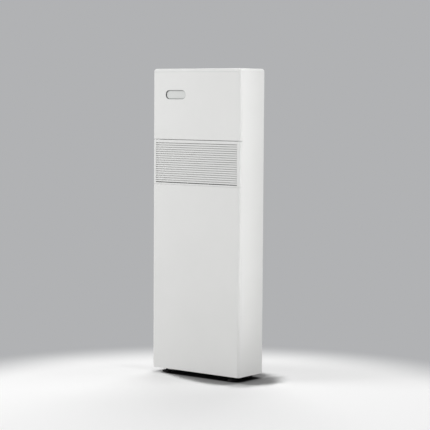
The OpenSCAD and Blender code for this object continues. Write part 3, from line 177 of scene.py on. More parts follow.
def round_loop(half_a, half_b, radius, steps=8):
    """A rectangle with round corners: corner k runs over t from 90 k to 90 k + 90 degrees, and its
    points are the corner's centre plus radius times (cos t, sin t)."""
    t = np.radians(90 * np.arange(4)[:, None] + np.linspace(0, 90, steps + 1))
    side_a = np.array([1, -1, -1, 1])[:, None]
    side_b = np.array([1, 1, -1, -1])[:, None]
    a = side_a * (half_a - radius) + radius * np.cos(t)
    b = side_b * (half_b - radius) + radius * np.sin(t)
    return np.stack([a.ravel(), b.ravel()], axis=-1)


def pill_loop(outward):
    """The window's outline with round ends, drawn out by a distance."""
    r = PILL_R + outward
    return round_loop(PILL_HALF + outward, r, r) + PILL_MIDDLE[[0, 2]]


# Patches: each is (points, faces), and pieces are welded from them


def grid(points, wrap_rows=False, wrap_columns=False, keep=None):
    """Four-sided faces between neighbours of a grid of points, rows x columns x 3."""
    rows, columns = points.shape[:2]
    ids = np.arange(rows * columns).reshape(rows, columns)
    if wrap_rows:
        ids = np.vstack([ids, ids[:1]])
    if wrap_columns:
        ids = np.hstack([ids, ids[:, :1]])
    quads = np.stack([ids[:-1, :-1], ids[:-1, 1:], ids[1:, 1:], ids[1:, :-1]], axis=-1)
    quads = quads[keep] if keep is not None else quads.reshape(-1, 4)
    return points.reshape(-1, 3), quads.tolist()


def cap(ring):
    """One flat face over a ring of points."""
    return ring, [list(range(len(ring)))]


def pierced(corners, loop, steps=8):
    """A flat four-sided face with a hole: four faces, each from one side of the face to the quarter
    of the loop between the middles of two of the loop's round corners."""
    size = len(loop)
    middle = [k * (steps + 1) + steps // 2 for k in range(4)]
    faces = []
    for k in range(4):
        after = (k + 1) % 4
        span = (middle[after] - middle[k]) % size
        faces.append([k, after] + [4 + (middle[after] - i) % size for i in range(span + 1)])
    return np.vstack([corners, loop]), faces


def lift(flat, axes, level):
    """Points of a flat outline set into space: its two coordinates go to the two named axes, and
    the third axis gets the level."""
    points = np.empty((*flat.shape[:-1], 3))
    other = ({0, 1, 2} - set(axes)).pop()
    points[..., axes[0]] = flat[..., 0]
    points[..., axes[1]] = flat[..., 1]
    points[..., other] = level
    return points


def tube(rings):
    """A closed body over a stack of rings: its wall and the flat faces over both ends."""
    return [grid(rings, wrap_columns=True), cap(rings[0]), cap(rings[-1])]


def rounded_box(low, high, r, steps=3):
    """A box with all edges round: level rings are rounded rectangles drawn in by r(1 - cos t) while
    they climb by r sin t, at the bottom and again at the top."""
    low, high = np.array(low), np.array(high)
    half = (high - low) / 2
    middle = (high + low) / 2
    t = quarter(steps)
    inset = np.concatenate([r * (1 - np.cos(t[::-1])), r * (1 - np.cos(t))])
    height = np.concatenate([-half[2] + r * (1 - np.sin(t[::-1])), half[2] - r * (1 - np.sin(t))])
    rings = np.stack([
        lift(round_loop(half[0] - e, half[1] - e, r - e, steps), (0, 1), z)
        for e, z in zip(inset, height)
    ]) + middle
    return tube(rings)


def turned(profile, centre, axis, segments=64, ripple=None):
    """A body of revolution: the point at angle a is centre + r cos a, r sin a across the axis and h
    along it, with the ripple's value at (r, h, a) added to r."""
    across = {0: (1, 2), 1: (2, 0), 2: (0, 1)}[axis]
    a = np.linspace(0, 2 * np.pi, segments, endpoint=False)[None, :]
    r = np.repeat(profile[:, :1], segments, axis=1)
    h = np.repeat(profile[:, 1:], segments, axis=1)
    if ripple is not None:
        r = r + ripple(r, h, a)
    points = np.empty((*r.shape, 3))
    points[..., across[0]] = r * np.cos(a)
    points[..., across[1]] = r * np.sin(a)
    points[..., axis] = h
    return grid(points + np.array(centre), wrap_rows=True, wrap_columns=True)


def bar(section, x0, x1, rounding=0.0):
    """A section of (y, z) points carried along X, with flat ends. Near an end it may be drawn in
    towards its middle by rounding times (1 - cos t) while x climbs by rounding times sin t."""
    t = quarter(3 if rounding else 0)
    middle = (section.max(0) + section.min(0)) / 2
    reach = (section.max(0) - section.min(0)) / 2
    xs = np.concatenate([x0 + rounding * (1 - np.sin(t[::-1])), x1 - rounding * (1 - np.sin(t))])
    inset = rounding * np.concatenate([1 - np.cos(t[::-1]), 1 - np.cos(t)])
    return tube(np.stack([
        lift(middle + (section - middle) * (reach - e) / reach, (1, 2), x)
        for x, e in zip(xs, inset)
    ]))


def mirrored(patches):
    """The patches on the other side of the middle plane, x -> -x."""
    return [(points * [-1, 1, 1], faces) for points, faces in patches]


def make(name, patches, body, slot, *nodes):
    """Welds patches into one piece with outward faces, smooth but for sharp edges, whose normals
    follow the larger faces. It rides on its body, has its slot's material and replaces the nodes."""
    points, faces = [], []
    for more, its_faces in patches:
        start = sum(len(p) for p in points)
        points.append(more)
        faces += [[start + i for i in face] for face in its_faces]
    mesh = bpy.data.meshes.new(name)
    mesh.from_pydata(np.vstack(points).tolist(), [], faces)
    work = bmesh.new()
    work.from_mesh(mesh)
    bmesh.ops.remove_doubles(work, verts=work.verts, dist=WELD)
    bmesh.ops.recalc_face_normals(work, faces=work.faces)
    work.to_mesh(mesh)
    work.free()
    mesh.shade_smooth()
    mesh.set_sharp_from_angle(angle=np.radians(SHARP))
    mesh.materials.append(MATERIALS[slot])
    piece = bpy.data.objects.new(name, mesh)
    bpy.context.scene.collection.objects.link(piece)
    weighted = piece.modifiers.new("even_normals", "WEIGHTED_NORMAL")
    weighted.keep_sharp = True
    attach(piece, body)
    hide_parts(*nodes)


# Materials


def add_node(tree, kind, inputs=(), **settings):
    """A new shader node: inputs are (socket, value or output) pairs."""
    made = tree.nodes.new("ShaderNode" + kind)
    for key, value in settings.items():
        setattr(made, key, value)
    for socket, value in inputs:
        if isinstance(value, bpy.types.NodeSocket):
            tree.links.new(value, made.inputs[socket])
        else:
            made.inputs[socket].default_value = value
    return made


class Finish:
    """A material round one Principled shader, with short calls for its nodes."""

    def __init__(self, name, **plain):
        self.material = bpy.data.materials.new(name)
        self.material.use_nodes = True
        self.tree = self.material.node_tree
        self.shader = self.tree.nodes["Principled BSDF"]
        self.place = self.tree.nodes.new("ShaderNodeTexCoord").outputs["Object"]
        for socket, value in plain.items():
            self.shader.inputs[socket.replace("_", " ")].default_value = value

    def node(self, kind, inputs=(), **settings):
        """A new node in this material."""
        return add_node(self.tree, kind, inputs, **settings)

    def math(self, operation, *values):
        """A math node's result for one or two values or outputs."""
        return self.node("Math", enumerate(values), operation=operation).outputs[0]

    def noise(self, scale, detail=2.0, vector=None):
        """Cloudy noise, from 0 to 1, with about one blotch per 1 / scale metres."""
        inputs = [("Vector", vector or self.place), ("Scale", scale), ("Detail", detail)]
        return self.node("TexNoise", inputs).outputs["Fac"]

    def ranged(self, value, low, high, start=0.3, end=0.7, **settings):
        """The value's span from start to end, turned into low to high."""
        inputs = [("Value", value), ("From Min", start), ("From Max", end),
                  ("To Min", low), ("To Max", high)]
        return self.node("MapRange", inputs, **settings).outputs[0]

    def tones(self, value, low, high, start=0.3, end=0.7):
        """Base colour between two colours, by the value."""
        ramp = self.node("ValToRGB", [("Fac", value)])
        for stop, colour, at in zip(ramp.color_ramp.elements, (low, high), (start, end)):
            stop.color = (*colour, 1)
            stop.position = at
        self.tree.links.new(ramp.outputs[0], self.shader.inputs["Base Color"])

    def rough(self, value, low, high):
        """Roughness between two values."""
        self.tree.links.new(self.ranged(value, low, high), self.shader.inputs["Roughness"])

    def relief(self, height, depth, strength):
        """Bump of a real depth."""
        bump = self.node("Bump", [("Height", height), ("Distance", depth), ("Strength", strength)])
        self.tree.links.new(bump.outputs[0], self.shader.inputs["Normal"])


def grained(name, low, high, cloud, roughness, wear, grain, depth, strength, specular):
    """A coat, rubber or moulded plastic from three noises, each given as (scale, detail): a cloud
    mixes two colours, wear goes between two values of roughness, and a grain has a depth in mm."""
    finish = Finish(name, Specular_IOR_Level=specular)
    finish.tones(finish.noise(*cloud), low, high)
    finish.rough(finish.noise(*wear), *roughness)
    finish.relief(finish.noise(*grain), depth * MM, strength)
    return finish.material


def window_tint():
    """Window printed from behind, with a soft gloss. Its rim is darker, by the distance from the line
    between the centres of its round ends: partly a printed border and partly painted shade of the
    recess round the window. Noise lets the rim waver a little."""
    pale, dark = (0.655, 0.668, 0.655), (0.33, 0.345, 0.335)
    # The rim's dark tone is partly print and partly painted shade of the recess round the window.
    print_and_shade_rim_from, print_and_shade_rim_to = PILL_R - 5.0 * MM, PILL_R - 2.2 * MM
    waver = 0.3 * MM
    window = Finish("window_tint", Roughness=0.3, Specular_IOR_Level=0.3, Coat_Weight=0.06,
                    Coat_Roughness=0.18)
    from_middle = [(0, window.place), (1, tuple(PILL_MIDDLE))]
    moved = window.node("VectorMath", from_middle, operation="SUBTRACT").outputs[0]
    parts = window.node("SeparateXYZ", [(0, moved)]).outputs
    past = window.math("SUBTRACT", window.math("ABSOLUTE", parts["X"]), PILL_HALF - PILL_R)
    flat = window.node("CombineXYZ", [("X", window.math("MAXIMUM", past, 0.0)), ("Z", parts["Z"])])
    away = window.node("VectorMath", [(0, flat.outputs[0])], operation="LENGTH").outputs["Value"]
    total = window.math("ADD", away, window.ranged(window.noise(30), -waver, waver))
    window.tones(window.ranged(total, 0, 1, print_and_shade_rim_from, print_and_shade_rim_to), pale, dark, 0, 1)
    return window.material


def zinc_sheet():
    """Galvanised sheet: flat crystals of slightly different brightness."""
    zinc = Finish("zinc_sheet", Metallic=1.0)
    cells = zinc.node("TexVoronoi", [("Vector", zinc.place), ("Scale", 70.0)])
    grey = zinc.node("RGBToBW", [(0, cells.outputs["Color"])]).outputs[0]
    zinc.tones(grey, (0.50, 0.51, 0.52), (0.68, 0.69, 0.70), 0.1, 0.9)
    zinc.rough(zinc.noise(60, 3), 0.34, 0.5)
    zinc.relief(cells.outputs["Distance"], 0.03 * MM, 0.3)
    return zinc.material


def motor_steel():
    """Turned and pressed steel: fine lines across the X axis."""
    metal = Finish("motor_steel", Metallic=1.0)
    drawn = metal.node("Mapping", [("Vector", metal.place), ("Scale", (1, 0.05, 0.05))]).outputs[0]
    lines = metal.noise(900, 2, drawn)
    metal.tones(lines, (0.42, 0.43, 0.44), (0.62, 0.63, 0.65))
    metal.rough(lines, 0.28, 0.42)
    metal.relief(lines, 0.02 * MM, 0.4)
    return metal.material


def fin_aluminium():
    """Thin bright fins, with a fine ripple across the coil's height."""
    fins = Finish("fin_aluminium", Metallic=0.9)
    ripple = fins.node("TexWave", [("Vector", fins.place), ("Scale", 140.0), ("Distortion", 0.4)],
                       bands_direction="Z").outputs["Fac"]
    fins.tones(ripple, (0.55, 0.56, 0.57), (0.74, 0.75, 0.76), 0, 1)
    fins.rough(fins.noise(200), 0.3, 0.45)
    fins.relief(ripple, 0.15 * MM, 0.6)
    return fins.material


def copper():
    """Drawn copper tube with brown tarnish in patches."""
    pipe = Finish("copper", Metallic=1.0)
    patches = pipe.noise(45, 4)
    pipe.tones(patches, (0.36, 0.15, 0.08), (0.72, 0.36, 0.22), 0.25, 0.6)
    pipe.rough(patches, 0.42, 0.26)
    pipe.relief(pipe.noise(500), 0.03 * MM, 0.3)
    return pipe.material


def foam_white():
    """Moulded housing of expanded beads, a few millimetres across."""
    foam = Finish("foam_white", Roughness=0.7)
    beads = foam.node("TexVoronoi", [("Vector", foam.place), ("Scale", 320.0)]).outputs["Distance"]
    foam.tones(beads, (0.62, 0.62, 0.60), (0.56, 0.56, 0.54), 0.2, 0.8)
    foam.relief(beads, 0.25 * MM, 0.6)
    return foam.material


def net():
    """Knitted net: threads 1.4 mm apart both ways, with painted shade where the holes are, for the
    dark space seen through them.
    """
    weave = Finish("net", Roughness=0.75, Sheen_Weight=0.2)
    threads = [
        weave.node("TexWave", [("Vector", weave.place), ("Scale", 224.0)],
                   bands_direction=direction).outputs["Fac"]
        for direction in ("X", "Z")
    ]
    height = weave.math("MAXIMUM", *threads)
    # Painted shade in the holes, far darker than the threads.
    weave.tones(height, (0.05, 0.05, 0.055), (0.30, 0.31, 0.32), 0.55, 0.85)
    weave.relief(height, 0.3 * MM, 0.8)
    return weave.material


def board_green():
    """Circuit board lacquer over pale tracks that run in straight lines."""
    board = Finish("board_green", Roughness=0.3, Coat_Weight=0.3)
    tracks = board.node("TexBrick", [
        ("Vector", board.place), ("Scale", 90.0), ("Mortar Size", 0.02),
        ("Color1", (0.01, 0.07, 0.025, 1)), ("Color2", (0.012, 0.085, 0.03, 1)),
        ("Mortar", (0.03, 0.16, 0.07, 1))])
    board.tree.links.new(tracks.outputs["Color"], board.shader.inputs["Base Color"])
    board.relief(board.noise(300), 0.05 * MM, 0.3)
    return board.material


# Arguments of grained, by name, in its order.
GRAINED = {
    # Satin powder coat: a faint orange peel and slow changes of tone.
    "white_paint": ((0.795, 0.797, 0.785), (0.815, 0.816, 0.805), (5, 2), (0.5, 0.58), (45, 3),
                    (750, 1), 0.05, 0.25, 0.4),
    # Moulded plastic in the covers' colour, with a finer grain.
    "white_plastic": ((0.79, 0.793, 0.782), (0.81, 0.812, 0.802), (7, 2), (0.5, 0.6), (80, 3),
                      (1800, 2), 0.03, 0.3, 0.4),
    # The rear panel's powder coat, a little greyer and rougher in grain than the covers'.
    "rear_paint": ((0.69, 0.69, 0.68), (0.72, 0.72, 0.71), (6, 2), (0.46, 0.56), (50, 3),
                   (600, 2), 0.06, 0.35, 0.5),
    # Black moulded plastic with a spark-eroded grain.
    "dark_plastic": ((0.012, 0.012, 0.013), (0.022, 0.022, 0.024), (120, 3), (0.45, 0.6), (300, 2),
                     (1500, 2), 0.06, 0.5, 0.5),
    # Matt black coat on pressed sheet and vessels.
    "black_paint": ((0.008, 0.008, 0.008), (0.016, 0.016, 0.016), (30, 3), (0.5, 0.65), (90, 2),
                    (700, 2), 0.06, 0.4, 0.5),
    # Matt rubber, dusty in patches.
    "black_rubber": ((0.006, 0.006, 0.006), (0.018, 0.017, 0.017), (90, 4), (0.7, 0.85), (200, 2),
                     (2200, 2), 0.05, 0.5, 0.3),
    # The filter frame's grey plastic.
    "filter_plastic": ((0.10, 0.11, 0.115), (0.14, 0.15, 0.155), (100, 3), (0.42, 0.55), (200, 2),
                       (1500, 2), 0.04, 0.4, 0.5),
    # Cream moulded plastic of terminals and bushes.
    "cream_plastic": ((0.70, 0.68, 0.56), (0.76, 0.74, 0.63), (90, 3), (0.3, 0.42), (200, 2),
                      (1400, 1), 0.03, 0.3, 0.5),
    "bush_plastic": ((0.66, 0.64, 0.55), (0.72, 0.70, 0.60), (90, 3), (0.3, 0.42), (200, 2),
                     (1400, 1), 0.03, 0.3, 0.5),
}

MATERIALS = {name: grained(name, *values) for name, values in GRAINED.items()}
for special in (window_tint, zinc_sheet, fin_aluminium, copper, motor_steel, foam_white, net,
                board_green):
    MATERIALS[special.__name__] = special()


# Folded covers: a C section carried along the case's plan


def fold_section(z0, z1, rows=()):
    """A folded sheet cut across its run, as (distance behind the face, height): the skin with a
    level lip at the top and the bottom. Rows are heights where the skin gets extra points."""
    rows = list(rows)
    corners = [(FOLD_D, z0), (0, z0)] + [(0, z) for z in rows] + [(0, z1), (FOLD_D, z1)]
    corners += [(FOLD_D, z1 - SHEET), (SHEET, z1 - SHEET)]
    corners += [(SHEET, z) for z in reversed(rows)] + [(SHEET, z0 + SHEET), (FOLD_D, z0 + SHEET)]
    none = [0] * len(rows)
    radii = [LIP_R, FOLD_R, *none, FOLD_R, LIP_R, LIP_R, LIP_R, *none, LIP_R, LIP_R]
    return rounded(corners, radii)


class Run:
    """A path in plan for a sheet's outer face: places, inward directions, and how far the face
    lies behind the path, which rounds the free edges."""

    def __init__(self):
        self.place, self.inward, self.least = [], [], []

    def add(self, place, inward, least=0.0):
        """One more place on the path."""
        self.place.append(place)
        self.inward.append(inward)
        self.least.append(least)

    def edge(self, end, inward, out, leaving, steps=4):
        """A free edge of radius FOLD_R: at angle t the place is FOLD_R (1 - sin t) short of the end
        and the face FOLD_R (1 - cos t) behind. The angle grows towards the end."""
        t = quarter(steps)
        for angle in t if leaving else t[::-1]:
            short = FOLD_R * (1 - np.sin(angle))
            self.add(np.array(end) - np.array(out) * short, inward, FOLD_R * (1 - np.cos(angle)))

    def corner(self, centre, start, steps=12):
        """A quarter turn of radius CORNER_R about the centre, from the start angle in degrees."""
        for t in np.radians(start + np.linspace(0, 90, steps + 1)):
            way = np.array([np.cos(t), np.sin(t)])
            self.add(np.array(centre) + CORNER_R * way, -way)

    def carry(self, section, open_run=None):
        """The section carried along the run: place + max(d, least) x inward, at height z. The flat
        faces of the open run, which gets a hole, are left out."""
        place, inward, least = (np.array(part) for part in (self.place, self.inward, self.least))
        d = np.maximum(section[None, :, 0], least[:, None])
        plan = place[:, None, :] + d[..., None] * inward[:, None, :]
        height = np.broadcast_to(section[:, 1], d.shape)
        points = np.concatenate([plan, height[..., None]], axis=-1)
        keep = np.ones((len(place) - 1, len(section)), bool)
        if open_run is not None:
            after = np.roll(section[:, 0], -1)
            for face in (0, SHEET):
                flat = np.isclose(section[:, 0], face) & np.isclose(after, face)
                keep[open_run] &= ~flat
        return [grid(points, wrap_columns=True, keep=keep), cap(points[0]), cap(points[-1])]


def front_run(wrap_back):
    """Plan of a front cover, left edge, left corner, front, right corner and right edge, with the
    number of its flat front."""
    run = Run()
    corner = np.array([HALF_W - CORNER_R, FRONT + CORNER_R])
    run.edge((-HALF_W, wrap_back), (1, 0), (0, 1), leaving=False)
    run.corner(corner * [-1, 1], 180)
    flat = len(run.place) - 1
    run.corner(corner, 270)
    run.edge((HALF_W, wrap_back), (-1, 0), (0, 1), leaving=True)
    return run, flat


def flange(y0, y1, z0, z1):
    """An upright flange on the inside of a cover's right edge, sunk a little into its sheet."""
    return rounded_box((HALF_W - FLANGE_W, y0, z0), (HALF_W - SHEET + SUNK, y1, z1), LIP_R)


def flanges(wrap_back, z0, z1):
    """The upright flanges behind a front cover's wrapped edges."""
    one = flange(wrap_back - SHEET, wrap_back, z0, z1)
    return one + mirrored(one)


def hole_walls(loop_at, levels, axes):
    """The wall of a hole: loop_at(e) is the hole's outline drawn out by e, and levels are pairs of
    that distance and the level along the third axis."""
    rings = np.stack([lift(loop_at(e), axes, level) for e, level in levels])
    return grid(rings, wrap_columns=True)


def eased(radius, level, steps=4):
    """Levels of a hole's rounded front edge: drawn out by r(1 - sin t) at depth r(1 - cos t)."""
    return [(radius * (1 - np.sin(a)), level + radius * (1 - np.cos(a))) for a in quarter(steps)]


def face_with_hole(x, z0, z1, y, loop):
    """The flat of a front cover, from -x to x, with a hole in it."""
    corners = np.array([(x, z1), (-x, z1), (-x, z0), (x, z0)])
    flat, faces = pierced(corners, loop)
    return lift(flat, (0, 2), y), faces


def front_cover_with_hole(low, high, loop_at, ease):
    """A front cover between two heights with a hole through its face, whose front edge is eased."""
    run, flat = front_run(high[1])
    section = fold_section(low[2], high[2])
    patches = run.carry(section, open_run=flat)
    x = HALF_W - CORNER_R
    levels = eased(ease, FRONT) + [(0, FRONT + SHEET)]
    patches.append(hole_walls(loop_at, levels, (0, 2)))
    patches.append(face_with_hole(x, low[2] + FOLD_R, high[2] - FOLD_R, FRONT, loop_at(ease)))
    inner = LIP_R + SHEET
    patches.append(face_with_hole(x, low[2] + inner, high[2] - inner, FRONT + SHEET, loop_at(0)))
    return patches


def make_upper_front_cover():
    """The upper front cover, with the pill-shaped opening before the window."""
    low, high = box("upper_front_cover")
    _, panel_high = box("rear_panel")
    patches = front_cover_with_hole(low, high, lambda e: pill_loop(WINDOW_GAP + e), WINDOW_EASE)
    patches += flanges(high[1], low[2] + SHEET + LIP_R, panel_high[2])
    make("upper_cover", patches, "root", "white_paint", "upper_front_cover")


def make_lower_front_cover():
    """The lower front cover, plain."""
    low, high = box("lower_front_cover")
    panel_low, _ = box("rear_panel")
    run, _ = front_run(high[1])
    patches = run.carry(fold_section(low[2], high[2]))
    patches += flanges(high[1], panel_low[2], high[2] - SHEET - LIP_R)
    make("lower_cover", patches, "root", "white_paint", "lower_front_cover")


def screw_heights():
    """Heights of the back's screws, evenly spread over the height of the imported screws' box."""
    low, high = box("cover_screws")
    return np.linspace(low[2] + SCREW_R, high[2] - SCREW_R, SCREW_COUNT)


def side_cover_patches():
    """The right side cover: front edge, side, rear corner, and a lip with countersunk holes."""
    low, high = box("right_side_cover")
    panel_low, panel_high = box("rear_panel")
    _, screw_high = box("cover_screws")
    screw_x = screw_high[0] - SCREW_R
    heights = screw_heights()
    between = (heights[1:] + heights[:-1]) / 2
    run = Run()
    run.edge((HALF_W, low[1]), (-1, 0), (0, -1), leaving=False)
    run.corner((HALF_W - CORNER_R, BACK - CORNER_R), 0)
    flat = len(run.place) - 1
    run.edge((low[0], BACK), (0, -1), (-1, 0), leaving=True)
    patches = run.carry(fold_section(low[2], high[2], between), open_run=flat)
    x0, x1 = low[0] + FOLD_R, HALF_W - CORNER_R
    wide, narrow, land = SCREW_R + 0.6 * MM, SHANK_R + 0.3 * MM, 0.3 * MM
    for level, inset, radius in ((BACK, FOLD_R, wide), (BACK - SHEET, SHEET + LIP_R, narrow)):
        bounds = [low[2] + inset, *between, high[2] - inset]
        for z, z0, z1 in zip(heights, bounds[:-1], bounds[1:]):
            loop = round_loop(radius, radius, radius) + [screw_x, z]
            corners = np.array([(x1, z1), (x0, z1), (x0, z0), (x1, z0)])
            points, faces = pierced(corners, loop)
            patches.append((lift(points, (0, 2), level), faces))
    for z in heights:
        patches.append(hole_walls(
            lambda r, z=z: round_loop(r, r, r) + [screw_x, z],
            [(wide, BACK), (narrow, BACK - SHEET + land), (narrow, BACK - SHEET)], (0, 2)))
    return patches + flange(low[1], low[1] + SHEET, panel_low[2], panel_high[2])


def make_side_covers():
    """Both side covers, mirror images."""
    right = side_cover_patches()
    make("side_cover_right", right, "root", "white_paint", "right_side_cover")
    make("side_cover_left", mirrored(right), "root", "white_paint", "left_side_cover")


# Top cap and outlet


def plan_ring(inset, z):
    """The case's plan drawn in, at one height."""
    return lift(round_loop(HALF_W - inset, BACK - inset, CORNER_R - inset, 12), (0, 1), z)


def make_top_cap():
    """The cap: its outer side is the plan drawn in by r(1 - cos t) at height r sin t over the last
    12 mm, its inner side the same 2 mm deeper, and a throat runs down round the outlet slot. The
    bearing block of the flap's left pin and four posts hang below it."""
    low, _ = box("top_cap")
    _, flap_high = box("outlet_flap")
    bottom = TOP - 14.3 * MM
    shoulder = TOP - CORNER_R
    inner_r = CORNER_R - SHEET
    t = quarter(12)
    outer = [plan_ring(0, bottom)]
    outer += [plan_ring(CORNER_R * (1 - np.cos(a)), shoulder + CORNER_R * np.sin(a)) for a in t]
    inner = [plan_ring(SHEET, bottom)]
    inner += [plan_ring(SHEET + inner_r * (1 - np.cos(a)), shoulder + inner_r * np.sin(a)) for a in t]
    skin = np.stack(inner[::-1] + outer)
    slot_front, slot_back, slot_r = FRONT + 65 * MM, BACK - 50 * MM, 1.5 * MM
    middle = np.array([0, (slot_front + slot_back) / 2])
    half_y = (slot_back - slot_front) / 2

    def slot(outward):
        """The slot's outline drawn out by a distance."""
        return round_loop(THROAT_X + outward, half_y + outward, slot_r + outward) + middle

    # The throat's section: down its outer side, round its lower edge, and up to the slot's rim.
    ease = 0.9 * MM
    t = quarter(4)
    throat = [(SHEET, TOP - SHEET), (SHEET, low[2] + LIP_R)]
    throat += [(SHEET - LIP_R * (1 - np.cos(a)), low[2] + LIP_R * (1 - np.sin(a))) for a in t[1:]]
    throat += [(LIP_R * (1 - np.sin(a)), low[2] + LIP_R * (1 - np.cos(a))) for a in t]
    throat += [(ease * (1 - np.cos(a)), TOP - ease * (1 - np.sin(a))) for a in t]
    patches = [grid(skin, wrap_columns=True), hole_walls(slot, throat, (0, 1))]
    x, y = HALF_W - CORNER_R, BACK - CORNER_R
    corners = np.array([(x, y), (-x, y), (-x, -y), (x, -y)])
    for drawn, level in ((ease, TOP), (SHEET, TOP - SHEET)):
        points, faces = pierced(corners, slot(drawn))
        patches.append((lift(points, (0, 1), level), faces))
    hung_from = TOP - 1 * MM
    block_w, block_half = 9 * MM, 4 * MM
    pin_y, pin_z = flap_high[1:] - BARREL_R
    patches += rounded_box((-THROAT_X - block_w, pin_y - block_half, pin_z - block_half),
                           (-THROAT_X - SHEET + LIP_R, slot_back + SHEET, hung_from), LIP_R)
    post_r, post_x, post_y = 5 * MM, HALF_W - 28 * MM, BACK - 26 * MM
    post = rounded([(0, low[2]), (post_r, low[2]), (post_r, hung_from), (0, hung_from)],
                   [0, LIP_R, 0, 0])
    for side_x in (-1, 1):
        for side_y in (-1, 1):
            patches.append(turned(post, (side_x * post_x, side_y * post_y, 0), 2, 24))
    make("cap", patches, "root", "white_plastic", "top_cap")


def make_outlet_flap():
    """The flap: a plate whose back edge rolls into the hinge barrel, carried along X, with a
    stiffening rib under its front edge and a pin at each end."""
    low, high = box("outlet_flap")
    thick, nose_d, under_r, nose_r, end_r = 3 * MM, 9 * MM, 0.6 * MM, 1.1 * MM, 0.4 * MM
    barrel_points = 40
    top = high[2]
    front, hinge_y = low[1], high[1] - BARREL_R
    hinge_z = top - BARREL_R
    turn = np.arcsin((BARREL_R - thick) / BARREL_R)
    angles = np.linspace(np.pi / 2, -np.pi - turn, barrel_points)
    barrel = np.stack([hinge_y + BARREL_R * np.cos(angles), hinge_z + BARREL_R * np.sin(angles)], -1)
    nose = rounded([(front + nose_d, top - thick), (front, top - thick), (front, top),
                    (front + nose_d, top)], [0, under_r, nose_r, 0])
    patches = bar(np.vstack([nose, barrel]), -FLAP_X, FLAP_X, rounding=end_r)
    rib_x, rib_h = FLAP_X - 12 * MM, 3 * MM
    rib_front, rib_back = front + 4 * MM, front + 6 * MM
    patches += rounded_box((-rib_x, rib_front, top - thick - rib_h),
                           (rib_x, rib_back, top - thick / 2), LIP_R)
    pin_r = 2 * MM
    pin = rounded([(0, low[0]), (pin_r, low[0]), (pin_r, high[0]), (0, high[0])],
                  [0, end_r, end_r, 0])
    patches.append(turned(pin, (0, hinge_y, hinge_z), 0, 24))
    make("flap", patches, "outlet_flap", "white_plastic", "outlet_flap")


# Intake grille


def make_intake_grille():
    """The grille: a front cover with a wide opening, slats in it, a sleeve, ribs and clips behind.
    A slat's section is an upright face, a gentle climb to the knee and a steeper one to its back."""
    low, high = box("intake_grille")
    frame_x = box("filter_frame")[1][0]
    wrap_back = box("upper_front_cover")[1][1]
    edge_r = 0.4 * MM
    slots_top = high[2] - RAIL_TOP
    slots_h = SLOT_COUNT * SLAT_PITCH - SLAT_H
    slots_low = slots_top - slots_h
    open_x = HALF_W - STILE_W
    middle = np.array([0, (slots_top + slots_low) / 2])

    def opening(outward):
        """The opening's outline drawn out by a distance."""
        return round_loop(open_x + outward, slots_h / 2 + outward, edge_r + outward) + middle

    patches = front_cover_with_hole(low, np.array([high[0], wrap_back, high[2]]), opening, edge_r)
    patches += flanges(wrap_back, low[2] + SHEET + LIP_R, high[2] - SHEET - LIP_R)
    slat_front = FRONT + SLAT_RECESS
    slat_back = slat_front + SLAT_D
    ceiling = slots_top + SLAT_H
    sleeve_middle = np.array([0, (ceiling + slots_low) / 2])
    half_h = (ceiling - slots_low) / 2

    def sleeve(outward):
        """The sleeve's outline drawn out by a distance."""
        return round_loop(open_x + outward, half_h + outward, edge_r + outward) + sleeve_middle

    front = FRONT + SHEET - 0.3 * MM
    rings = [(0, front), (SHEET, front), (SHEET, slat_back - LIP_R), (SHEET - LIP_R, slat_back),
             (LIP_R, slat_back), (0, slat_back - LIP_R), (0, front)]
    patches.append(hole_walls(sleeve, rings, (0, 2)))
    front_r, knee_r, land_r, back_r = 0.3 * MM, 2 * MM, 0.1 * MM, 0.6 * MM
    profile = rounded([(0, 0), (SLAT_KNEE, SLAT_CLIMB), (SLAT_D, SLAT_RISE),
                       (SLAT_D, SLAT_RISE + SLAT_BACK), (SLAT_KNEE, SLAT_H + SLAT_CLIMB),
                       (SLAT_LAND, SLAT_H), (0, SLAT_H)],
                      [front_r, knee_r, back_r, back_r, knee_r, land_r, front_r])
    slat_x = open_x + 0.5 * MM
    for i in range(SLOT_COUNT - 1):
        foot = np.array([slat_front, slots_low + SLOT_H + i * SLAT_PITCH])
        patches += bar(profile + foot, -slat_x, slat_x)
    rib_half, rib_front, rib_d, rib_margin = 1.2 * MM, slat_back - 1 * MM, 6 * MM, 9 * MM
    ribs = int((frame_x - rib_margin) * 2 / RIB_PITCH) + 1
    for i in range(ribs):
        rib_x = (i - (ribs - 1) / 2) * RIB_PITCH
        patches += rounded_box((rib_x - rib_half, rib_front, slots_low - SHEET),
                               (rib_x + rib_half, rib_front + rib_d, ceiling + SHEET), LIP_R)
    clip_x, clip_w, clip_half = frame_x + 0.3 * MM, 3 * MM, 7 * MM
    for share in (0.25, 0.75):
        z = slots_low + slots_h * share
        clip = rounded_box((clip_x, slat_back - SHEET, z - clip_half),
                           (clip_x + clip_w, high[1], z + clip_half), LIP_R)
        patches += clip + mirrored(clip)
    make("grille", patches, "grille", "white_plastic", "intake_grille")


# Display


